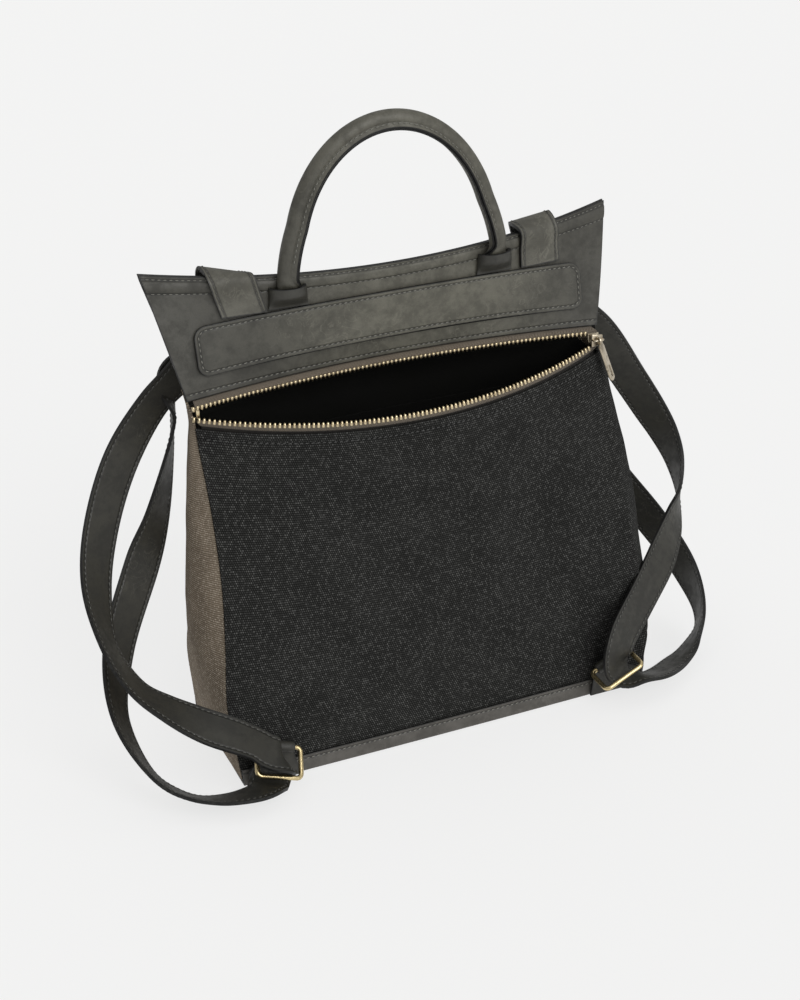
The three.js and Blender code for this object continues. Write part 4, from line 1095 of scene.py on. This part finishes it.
def foot_tab(name, side):
    """Cup of leather that holds the foot of the handle."""
    def place(u, v):
        z = mix(FOOT_TAB["bottom"], FOOT_TAB["top"], v)
        turn = u * math.pi / 2
        half = mix(FOOT_TAB["half_bottom"], FOOT_TAB["half_top"], v)
        x = side * FOOT_TAB["x"] + HANDLE_SWAY["foot"] + half * math.sin(turn)
        bulge = FOOT_TAB["bulge"] * smooth(0, 0.66, v) * math.cos(turn)
        return Vector((x, yoke_y(x, z) - GAP - bulge - FOOT_TAB["thick"], z))
    bm = laid_grid(spread(-1, -0.94, 0.94, 1, step=0.1), spread(0, 0.06, 0.94, 1, step=0.08), place,
                   flat_cut(14, 17), lambda u, v: (min((1 - abs(u)) * 16, v * 17, (1 - v) * 17), FAR))
    piece(bm, f"{name}_leather", [TAB_HIDE, EDGE_PAINT], "nubuck", [name], wall=FOOT_TAB["thick"],
          rounded=0.4)


def handle_path():
    foot = HANDLE_FOOT
    foot_y = yoke_y(foot["x"], foot["z"]) - foot["off"]
    spring_y = foot_y - HANDLE_LEAN["leg"]

    def leg(side):
        return [Vector((side * foot["x"] + HANDLE_SWAY["foot"], mix(foot_y, spring_y, i / 8),
                        mix(foot["z"], HANDLE_SPRING_Z, i / 8))) for i in range(8)]
    line = leg(-1)
    for i in range(97):
        turn = math.pi * (1 - i / 96)
        rise = math.sin(turn)
        reach = mix(foot["x"], HANDLE_HALF, min(rise * 3, 1))
        x = reach * math.cos(turn) + mix(HANDLE_SWAY["foot"], HANDLE_SWAY["top"], rise)
        line.append(Vector((x, spring_y - HANDLE_LEAN["arch"] * rise, HANDLE_SPRING_Z + HANDLE_RISE * rise)))
    return evenly(line + leg(1)[::-1], 120)


def handle_flat(share):
    return 1 - smooth(0.0, 0.045, min(share, 1 - share))


def handle_frames():
    line = handle_path()
    frames = []
    for i, (at, along) in enumerate(zip(line, tangents(line))):
        front = (Vector((0, -1, 0)) + along * along.y).normalized()
        turn = -FLANGE_TURN * (1 - handle_flat(i / (len(line) - 1)))
        y = Matrix.Rotation(turn, 3, along) @ front
        frames.append((at, along.cross(y), y))
    return frames


def handle_section(share):
    """Rolled tube with a sewn flange of two lips on the inside of the arch, pressed flat at the feet."""
    flat = handle_flat(share)
    middle = -FLANGE * (1 - flat)
    wide, deep = mix(HANDLE_R, HANDLE_FOOT["wide"], flat), mix(HANDLE_R, HANDLE_FOOT["deep"], flat)
    points = []
    for k in range(21):
        turn = math.radians(24 + 312 * k / 20)
        points.append((middle + wide * math.cos(turn), deep * math.sin(turn)))
    tip, lip = mix(HANDLE_R, wide, flat), HANDLE_LIP["thick"]
    root = middle + wide * 0.93
    half = [(root, lip + 0.3), (tip - 0.5, lip), (tip, lip * 0.75), (tip, 0.5), (tip - HANDLE_LIP["gap"], 0.15)]
    return points + [(x, -y) for x, y in half] + half[::-1]


def handle():
    frames = handle_frames()
    sections = [handle_section(i / (len(frames) - 1)) for i in range(len(frames))]
    # Edge paint on the lips' ends and on the faces of the gap between them; in the gap the black is painted shade
    bm = swept(frames, sections, edge_sides=range(22, 29))
    piece(bm, "handle_leather", [NUBUCK_HIDE, EDGE_PAINT], "nubuck", ["handle"])
    lines = []
    for front in (1, -1):
        picked = frames[9:-9]
        points = [at + x * (HANDLE_R - FLANGE * 0.78) + y * front * HANDLE_LIP["row"] for at, x, y in picked]
        lines.append((points, [y * front for _, _, y in picked]))
    stitches("handle_stitches", lines, LEATHER_THREAD, "nubuck")


yoke("yoke_front_leather", yoke_skin, ["yoke_front"])
yoke("yoke_back_leather", back_yoke_skin, ["yoke_back"])
patch()
foot_tab("handle_tab_left", -1)
foot_tab("handle_tab_right", 1)
handle()


def row_pairs(value, low=-0.985, high=0.985, count=140):
    return [(mix(low, high, i / count), value) for i in range(count + 1)]


def yoke_stitches():
    for name, skin in (("yoke_front_stitches", yoke_skin), ("yoke_back_stitches", back_yoke_skin)):
        rows = [YOKE_DEEP - HEM_ROWS[0], YOKE_DEEP - HEM_ROWS[1], YOKE_FOOT_ROW]
        lines = [face_line(skin, row_pairs(row)) for row in rows]
        stitches(name, lines, LEATHER_THREAD, "nubuck")
    half = PATCH_HIGH / 2
    ring = outline(PATCH_HALF - PATCH_ROW, half - PATCH_ROW, PATCH_CORNER - PATCH_ROW, 8)
    ring = evenly([Vector(p) for p in ring], 400, closed=True)
    points = [patch_skin(x, h) for x, h in [*ring, ring[0]]]
    stitches("patch_stitches", [(points, [Vector((0, -1, 0.08)) for _ in points])], LEATHER_THREAD, "nubuck")


def wall_stitches():
    lines = [face_line(front_cloth, row_pairs(1 - FRONT_ROW / FRONT_HIGH, -0.965, 0.965))]
    stitches("front_panel_stitches", lines, CANVAS_THREAD, "charcoal_canvas")
    down = BAND_ROW / (BAND_H - BASE_BEND)
    lines = []
    for s in (down, BASE_PARTS - down):
        points, outs = face_line(base_place, row_pairs(s, -0.98, 0.98, 100))
        lines.append((points, [-o for o in outs]))
    stitches("base_stitches", lines, LEATHER_THREAD, "nubuck")


yoke_stitches()
wall_stitches()


# Zip
def tape_line(lip, edge, tucked, hem):
    def place(u, v):
        end = lip_point(lip, u)
        rows = [tucked(u), hem(u), end + Vector((0, 0, edge * 1.9)), end]
        k = min(int(v), 2)
        return rows[k].lerp(rows[k + 1], v - k)
    return place


def upper_tuck(u, v):
    return yoke_face(u * TAPE_REACH, v, LEATHER + 2 * GAP)


TAPE_UPPER = tape_line(UPPER_LIP, 1, lambda u: upper_tuck(u, 1 - TAPE_TUCK / (TOP_Z - YOKE_Z)),
                       lambda u: upper_tuck(u, 1) - Vector((0, 0, GAP)))
TAPE_LOWER = tape_line(LOWER_LIP, -1,
                       lambda u: front_face(u * TAPE_REACH, front_top(u) - TAPE_TUCK, CANVAS + 3 * GAP),
                       lambda u: front_face(u * TAPE_REACH, front_top(u) + GAP, CANVAS + 3 * GAP))


def zip_tape(name, place, flip):
    bm = laid_grid(spread(-1, 1, step=2 / 140), spread(0, 3, step=0.34), place, flat_cut(LIP_HALF, 4.2))
    if flip:
        bmesh.ops.reverse_faces(bm, faces=bm.faces)
    piece(bm, f"{name}_cloth", [TAPE_CLOTH], "zip_tape", [name], wall=TAPE, rounded=0.2)


def zip_teeth(name, lip, edge):
    """Stamped teeth: a broad foot clamped on the tape's cord and a rounded nose towards the mouth."""
    count = round(LIP_HALF * (ZIP_TO - ZIP_FROM) / TOOTH_PITCH)
    bm = bmesh.new()
    for i in range(count):
        u = mix(ZIP_FROM, ZIP_TO, (2 * i + 1) / (2 * count))
        at = lip_point(lip, u) + Vector((0, TAPE / 2, 0))
        along = (lip_point(lip, u + 0.004) - lip_point(lip, u - 0.004)).normalized()
        out = (Vector((0, -1, 0)) + along * along.y).normalized()
        basis = Matrix((along, -out, along.cross(-out))).transposed().to_4x4()
        verts = bmesh.ops.create_cube(bm, size=1.0)["verts"]
        for vert in verts:
            wide, deep = TOOTH["nose" if vert.co.z * edge < 0 else "foot"]
            vert.co = Vector((vert.co.x * wide, vert.co.y * deep, vert.co.z * TOOTH["long"])) * MM
        bmesh.ops.transform(bm, matrix=Matrix.Translation(MM * at) @ basis, verts=verts)
        bevelled(bm, verts, TOOTH["rounded"] * MM)
    piece(bm, f"{name}_brass", [ZIP_BRASS], "brass", [name])


def zip_slider():
    bm = bmesh.new()
    slide_at = lip_middle(SLIDE_AT)
    for y in (-SLIDER["apart"], SLIDER["apart"]):
        before = set(bm.verts)
        block(bm, [SLIDER[way] for way in ("wide", "plate", "high")], slide_at + Vector((0, y, 0)), 0.55, 2)
        for vert in set(bm.verts) - before:
            if vert.co.x > MM * slide_at.x:
                vert.co.z = mix(MM * slide_at.z, vert.co.z, SLIDER["narrow"])
    post_wide, post_high = SLIDER["post"]
    block(bm, (post_wide, 2 * SLIDER["apart"], post_high), slide_at, 0.3)
    bridge_y = slide_at.y - SLIDER["bridge"]
    reach, z = (SLIDER["wide"] - SLIDER["rod"]) / 2, slide_at.z + SLIDER["up"]
    base_y, bend = slide_at.y - SLIDER["apart"], SLIDER["bend"]
    line = [Vector((slide_at.x - reach, base_y, z))]
    for side, start in ((-1, 180), (1, 90)):
        centre = slide_at.x + (reach - bend) * side
        for i in range(7):
            turn = math.radians(start - 90 * i / 6)
            line.append(Vector((centre + bend * math.cos(turn), bridge_y + bend - bend * math.sin(turn), z)))
    line.append(Vector((slide_at.x + reach, base_y, z)))
    up = Vector((0, 0, 1))
    frames = [(at, up, along.cross(up)) for at, along in zip(line, tangents(line))]
    joined(bm, swept(frames, [round_wire(SLIDER["wire"], 10)] * len(frames)))
    piece(bm, "zip_slider_brass", [PULL_BRASS], "brass", ["zip_slider"])


def zip_stop():
    bm = bmesh.new()
    at = lip_middle(STOP_AT) + Vector((0, STOP["behind"], 0))
    block(bm, [STOP[way] for way in ("wide", "deep", "high")], at, 0.5, 2)
    piece(bm, "zip_stop_brass", [ZIP_BRASS], "brass", ["zip_stop"])


def zip_pull():
    half, foot, eye = PULL["wide"] / 2, -PULL["long"], PULL["eye"]
    neck, shoulder = -eye - 0.6, -eye - 3.6
    outer = [(0, neck), (-PULL["neck"], neck), (-half, shoulder), (-half, foot + 1.6), (-half + 0.5, foot + 0.5),
             (-half + 1.6, foot), (half - 1.6, foot), (half - 0.5, foot + 0.5), (half, foot + 1.6),
             (half, shoulder), (PULL["neck"], neck)]
    low, high = foot + 3, foot + 3 + PULL["slot_long"]
    s = PULL["slot_half"]
    inner = [(0, high), (-s * 0.6, high - 0.1), (-s, high - 0.6), (-s, low + 0.6), (-s * 0.6, low + 0.1),
             (0, low), (s * 0.6, low + 0.1), (s, low + 0.6), (s, high - 0.6), (s * 0.6, high - 0.1)]
    bm = bmesh.new()
    loops = []
    for line in (outer, inner):
        points = evenly([Vector((x, 0, z)) for x, z in line], 48, closed=True)
        made = bmesh.ops.create_circle(bm, cap_ends=False, segments=48, radius=1.0)
        for vert, point in zip(made["verts"], points):
            vert.co = MM * (point - Vector((0, PULL["thick"] / 2, 0)))
        loops += list({e for v in made["verts"] for e in v.link_edges})
    faces = bmesh.ops.bridge_loops(bm, edges=loops)["faces"]
    raised = bmesh.ops.extrude_face_region(bm, geom=faces)["geom"]
    raised = [made for made in raised if isinstance(made, bmesh.types.BMVert)]
    bmesh.ops.translate(bm, vec=(0, MM * PULL["thick"], 0), verts=raised)
    bmesh.ops.recalc_face_normals(bm, faces=bm.faces)
    sharp = [e for e in bm.edges if len(e.link_faces) == 2 and e.calc_face_angle() > 1.0]
    bmesh.ops.bevel(bm, geom=sharp, offset=0.28 * MM, segments=2, profile=0.5, affect="EDGES", material=-1)
    hang = (Matrix.Rotation(-PULL_POSE["lean"], 4, "Y") @ Matrix.Rotation(-PULL_POSE["lift"], 4, "X")
            @ Matrix.Rotation(PULL_POSE["turn"], 4, "Z"))
    bmesh.ops.transform(bm, matrix=hang, verts=bm.verts)
    frames = []
    for i in range(25):
        turn = 2 * math.pi * (i % 24) / 24
        out = Vector((0, math.cos(turn), math.sin(turn)))
        frames.append((out * (eye + PULL["rim"] / 2), out, Vector((1, 0, 0))))
    joined(bm, swept(frames, [outline(PULL["rim"] / 2, PULL["thick"] / 2, 0.4, 2)] * 25))
    bridge_at = lip_middle(SLIDE_AT) + Vector((0, -SLIDER["bridge"], SLIDER["up"]))
    bmesh.ops.translate(bm, vec=MM * bridge_at, verts=bm.verts)
    made = piece(bm, "zip_pull_brass", [PULL_BRASS], "brass", ["zip_pull"], body="pull")
    made.data.set_sharp_from_angle(angle=math.radians(40))


zip_tape("zip_tape_upper", TAPE_UPPER, True)
zip_tape("zip_tape_lower", TAPE_LOWER, False)
zip_teeth("zip_teeth_upper", UPPER_LIP, 1)
zip_teeth("zip_teeth_lower", LOWER_LIP, -1)
zip_slider()
zip_stop()
zip_pull()


# Straps, rings and corner tabs
def strap_frames(run):
    """Frames at even steps along a strap, its twist eased over a few of them, and their station numbers. Where
    it is folded over the top edge, its fold follows that edge."""
    last = len(run[0]) - 1
    numbers = [i / STATION_PARTS for i in range(STATION_PARTS * last + 1)]
    lengths = running([spline(run[0], n) for n in numbers])
    count = round(lengths[-1] / STRAP_STEP)
    wants = [lengths[-1] * i / count for i in range(count + 1)]
    stations = [min(numbers[k] + share / STATION_PARTS, last) for k, share in steps_along(lengths, wants)]
    rough = [strap_frame(run, n) for n in stations]
    middles = [sum((rough[min(max(i + j, 0), count)][0] for j in (-1, 0, 1)), Vector()) / 3
               for i in range(count + 1)]
    middles[0], middles[-1] = rough[0][0], rough[-1][0]
    frames = []
    for i, (at, along) in enumerate(zip(middles, tangents(middles))):
        reach = min(STRAP_EASE, i, count - i)
        x = sum((rough[i + j][1] * (STRAP_EASE + 1 - abs(j)) for j in range(-reach, reach + 1)), Vector())
        x = (x - along * x.dot(along)).normalized()
        folded = spline(run[1], stations[i]).normalized()
        x = folded.lerp(x, smooth(*FOLD_ROWS, stations[i])).normalized()
        frames.append((at, x, along.cross(x).normalized()))
    return frames, stations, lengths[-1]


def strap_half(station):
    taper = min(max((station - STRAP_TOP["rows"]) / STRAP_TOP["taper"], 0), 1)
    return mix(STRAP_TOP["wide"], STRAP_W, taper) / 2


def strap(name, run):
    frames, stations, length = strap_frames(run)
    count = len(frames) - 1
    inner = STRAP_W / 2 - STRAP_ROW
    rows = [STRAP_ROW, GROOVE["strap"], 0, -GROOVE["strap"]]
    across = spread(*[-inner - off for off in rows], *[inner + off for off in reversed(rows)], step=3.4)

    def place(number, w):
        at, x, _ = frames[number]
        return at + x * w * strap_half(stations[number]) / (STRAP_W / 2)

    def marks(number, w):
        ends = min(number, count - number) * length / count
        return min(STRAP_W / 2 - abs(w), ends), abs(abs(w) - inner)
    bm = laid_grid(list(range(count + 1)), across, place, lambda n, w: (length * n / count, w), marks)
    flat = bm.loops.layers.uv["cut"]
    # The loop, up to where it leaves the top edge, takes the lighter copy of the strap leather: painted light
    top = MM * length * next(i for i, n in enumerate(stations) if n > FOLD_ROWS[0]) / count
    for face in bm.faces:
        if max(loop[flat].uv.x for loop in face.loops) < top:
            face.material_index = 2
    piece(bm, f"strap_{name}_leather", [STRAP_HIDE, EDGE_PAINT, LIT_LOOP_HIDE, EDGE_PAINT], "strap_leather",
          [f"strap_{name}"], wall=STRAP_T, offset=0.0, rounded=0.5)
    for face, word in ((1, "upper"), (-1, "under")):
        lines = []
        for side in (-1, 1):
            picked = list(zip(frames, stations))[2:-3]
            points = [at + x * side * (strap_half(n) - STRAP_ROW) + y * face * STRAP_T / 2
                      for (at, x, y), n in picked]
            lines.append((points, [y * face for (_, _, y), _ in picked]))
        stitches(f"strap_{name}_stitches_{word}", lines, STRAP_THREAD, "strap_leather", pitch=STRAP_PITCH)


def keeper(name, run):
    kept = len(STRAP_FRONT) + KEEPER["row"]
    grow = KEEPER["room"] + KEEPER["wall"]
    line = outline((STRAP_W + 2 * grow) / 2, (STRAP_T + KEEPER["layer"] + 2 * grow) / 2, 2.6, 4)
    line = [*line, line[0]]

    def place(k, v):
        at, x, y = strap_frame(run, kept + (v - 0.5) * KEEPER["long"])
        out = math.copysign(1, y.y)
        px, py = line[k]
        return at + x * px + y * out * (py + KEEPER["layer"] / 2)
    bm = laid_grid(list(range(len(line))), spread(0, 1, step=0.25), place, flat_cut(4, 9))
    bmesh.ops.remove_doubles(bm, verts=bm.verts, dist=1e-6)
    middle = strap_frame(run, kept)[0] * MM
    facing = sum(f.normal.dot(f.calc_center_median() - middle) for f in bm.faces)
    if facing < 0:
        bmesh.ops.reverse_faces(bm, faces=bm.faces)
    piece(bm, f"strap_keeper_{name}_brass", [BRASS], "brass", [f"strap_keeper_{name}"], wall=KEEPER["wall"],
          rounded=0.4)


def wire_ring(name, ring, weld):
    line = outline(RING["long"] / 2, RING["short"] / 2, RING["corner"], 8)
    line = evenly([Vector((*p, 0)) for p in line], 96, True)
    frames, sections = [], []
    for i in range(97):
        here, ahead, behind = line[i % 96], line[(i + 1) % 96], line[(i - 1) % 96]
        way = (ahead - behind).normalized()
        out = ring["along"] * way.y - ring["down"] * way.x
        frames.append((ring["middle"] + ring["along"] * here.x + ring["down"] * here.y, out, ring["through"]))
        near = math.hypot(here.x - weld[0], here.y - weld[1])
        proud, nick = 0.1 * math.exp(-(near / 1.1) ** 2), 0.16 * math.exp(-(near / 0.35) ** 2)
        sections.append(round_wire(RING["wire"] * (1 + proud - nick), 14))
    piece(swept(frames, sections), f"ring_{name}_brass", [BRASS], "brass", [f"ring_{name}"])


def corner_tab(name, ring, side):
    """Leather triangle on the bag's corner, folded over the ring's upper bar and back under it."""
    bar, along = ring["tab_bar"], ring["along"]
    up = Vector((0, 1, 0)).cross(along)
    up = up if up.z > 0 else -up
    radius = RING["wire"] + GAP + LEATHER / 2
    slope = along.z / along.x
    inner, outside = bar.x - side * TAB_HALF, bar.x + side * TAB_HALF
    seam = side * (body_at(0)["half"] - 3) + body_at(0)["sway"]

    def place(w, v):
        if v <= 1:
            x0, x1 = mix(inner - side * 4, inner, v), mix(seam, outside, smooth(0.25, 0.75, v))
            x = mix(x0, x1, w)
            z = mix(TAB_FOOT_Z, bar.z + slope * (x - bar.x), v)
            return Vector((x, bar.y + radius, z))
        x = mix(inner, outside, w)
        turn = math.pi - (v - 1) * 1.5 * math.pi
        middle = bar + along * ((x - bar.x) / along.x)
        return middle + Vector((0, -1, 0)) * radius * math.cos(turn) + up * radius * math.sin(turn)

    bm = laid_grid(spread(0, 0.08, 0.92, 1, step=0.1), spread(0, 1, 2, step=0.07), place, flat_cut(20, 20),
                   lambda w, v: (min(w, 1 - w) * 2 * TAB_HALF, FAR))
    front = sum(f.normal.y for f in bm.faces if f.calc_center_median().z < MM * (bar.z - 4))
    if front > 0:
        bmesh.ops.reverse_faces(bm, faces=bm.faces)
    piece(bm, f"corner_tab_{name}_leather", [TAB_HIDE, EDGE_PAINT], "nubuck", [f"corner_tab_{name}"],
          wall=LEATHER, offset=0.0, rounded=0.4)


for name, side, ring, weld in (("left", -1, LEFT_RING, (1.0, RING["short"] / 2)),
                               ("right", 1, RIGHT_RING, (-4.0, -RING["short"] / 2))):
    strap(name, STRAPS[name])
    keeper(name, STRAPS[name])
    wire_ring(name, ring, weld)
    corner_tab(name, ring, side)


# Floor, light and camera
def studio():
    bm = bmesh.new()
    bmesh.ops.create_grid(bm, x_segments=1, y_segments=1, size=20.0,
                          matrix=Matrix.Translation((0, 0, FLOOR["low"])))
    mesh = bpy.data.meshes.new("floor")
    bm.to_mesh(mesh)
    bm.free()
    floor = bpy.data.objects.new("floor", mesh)
    bpy.context.scene.collection.objects.link(floor)
    paper, _ = shade("floor_paper", 0.95, specular_ior_level=0.1, base_color=FLOOR["base"],
                     emission_color=FLOOR["glow"], emission_strength=FLOOR["power"])
    mesh.materials.append(paper)
    world = bpy.data.worlds.new("studio")
    world.use_nodes = True
    tree = world.node_tree
    height = node(tree, "SeparateXYZ", {0: node(tree, "TexCoord").outputs["Generated"]}).outputs["Z"]
    light = between(tree, height, 0.0, SKY["full_at"], SKY["low"], SKY["high"])
    tree.links.new(light, tree.nodes["Background"].inputs["Strength"])
    tree.nodes["Background"].inputs["Color"].default_value = SKY["colour"]
    bpy.context.scene.world = world
    lamp = bpy.data.lights.new("key", "SUN")
    lamp.energy = KEY_LIGHT["power"]
    lamp.angle = math.radians(KEY_LIGHT["wide"])
    key = bpy.data.objects.new("key", lamp)
    key.rotation_mode = "QUATERNION"
    key.rotation_quaternion = Vector(KEY_LIGHT["way"]).to_track_quat("-Z", "Y")
    bpy.context.scene.collection.objects.link(key)


def photo_camera():
    yaw, pitch, roll = (math.radians(a) for a in CAMERA["turns"])
    ahead = Vector((math.sin(yaw) * math.cos(pitch), math.cos(yaw) * math.cos(pitch), -math.sin(pitch)))
    right = Vector((math.cos(yaw), -math.sin(yaw), 0))
    up = right.cross(ahead)
    across = math.cos(roll) * right + math.sin(roll) * up
    above = math.cos(roll) * up - math.sin(roll) * right
    data = bpy.data.cameras.new("camera")
    data.sensor_fit = "VERTICAL"
    data.sensor_height = data.sensor_width = CAMERA["sensor"]
    data.lens = CAMERA["focal"] * CAMERA["sensor"] / CAMERA["high"]
    made = bpy.data.objects.new("camera", data)
    turn = Matrix((across, above, -ahead)).transposed().to_4x4()
    made.matrix_world = Matrix.Translation(CAMERA["at"]) @ turn
    bpy.context.scene.collection.objects.link(made)
    bpy.context.scene.camera = made
    bpy.context.scene.view_settings.view_transform = "Standard"


studio()
photo_camera()
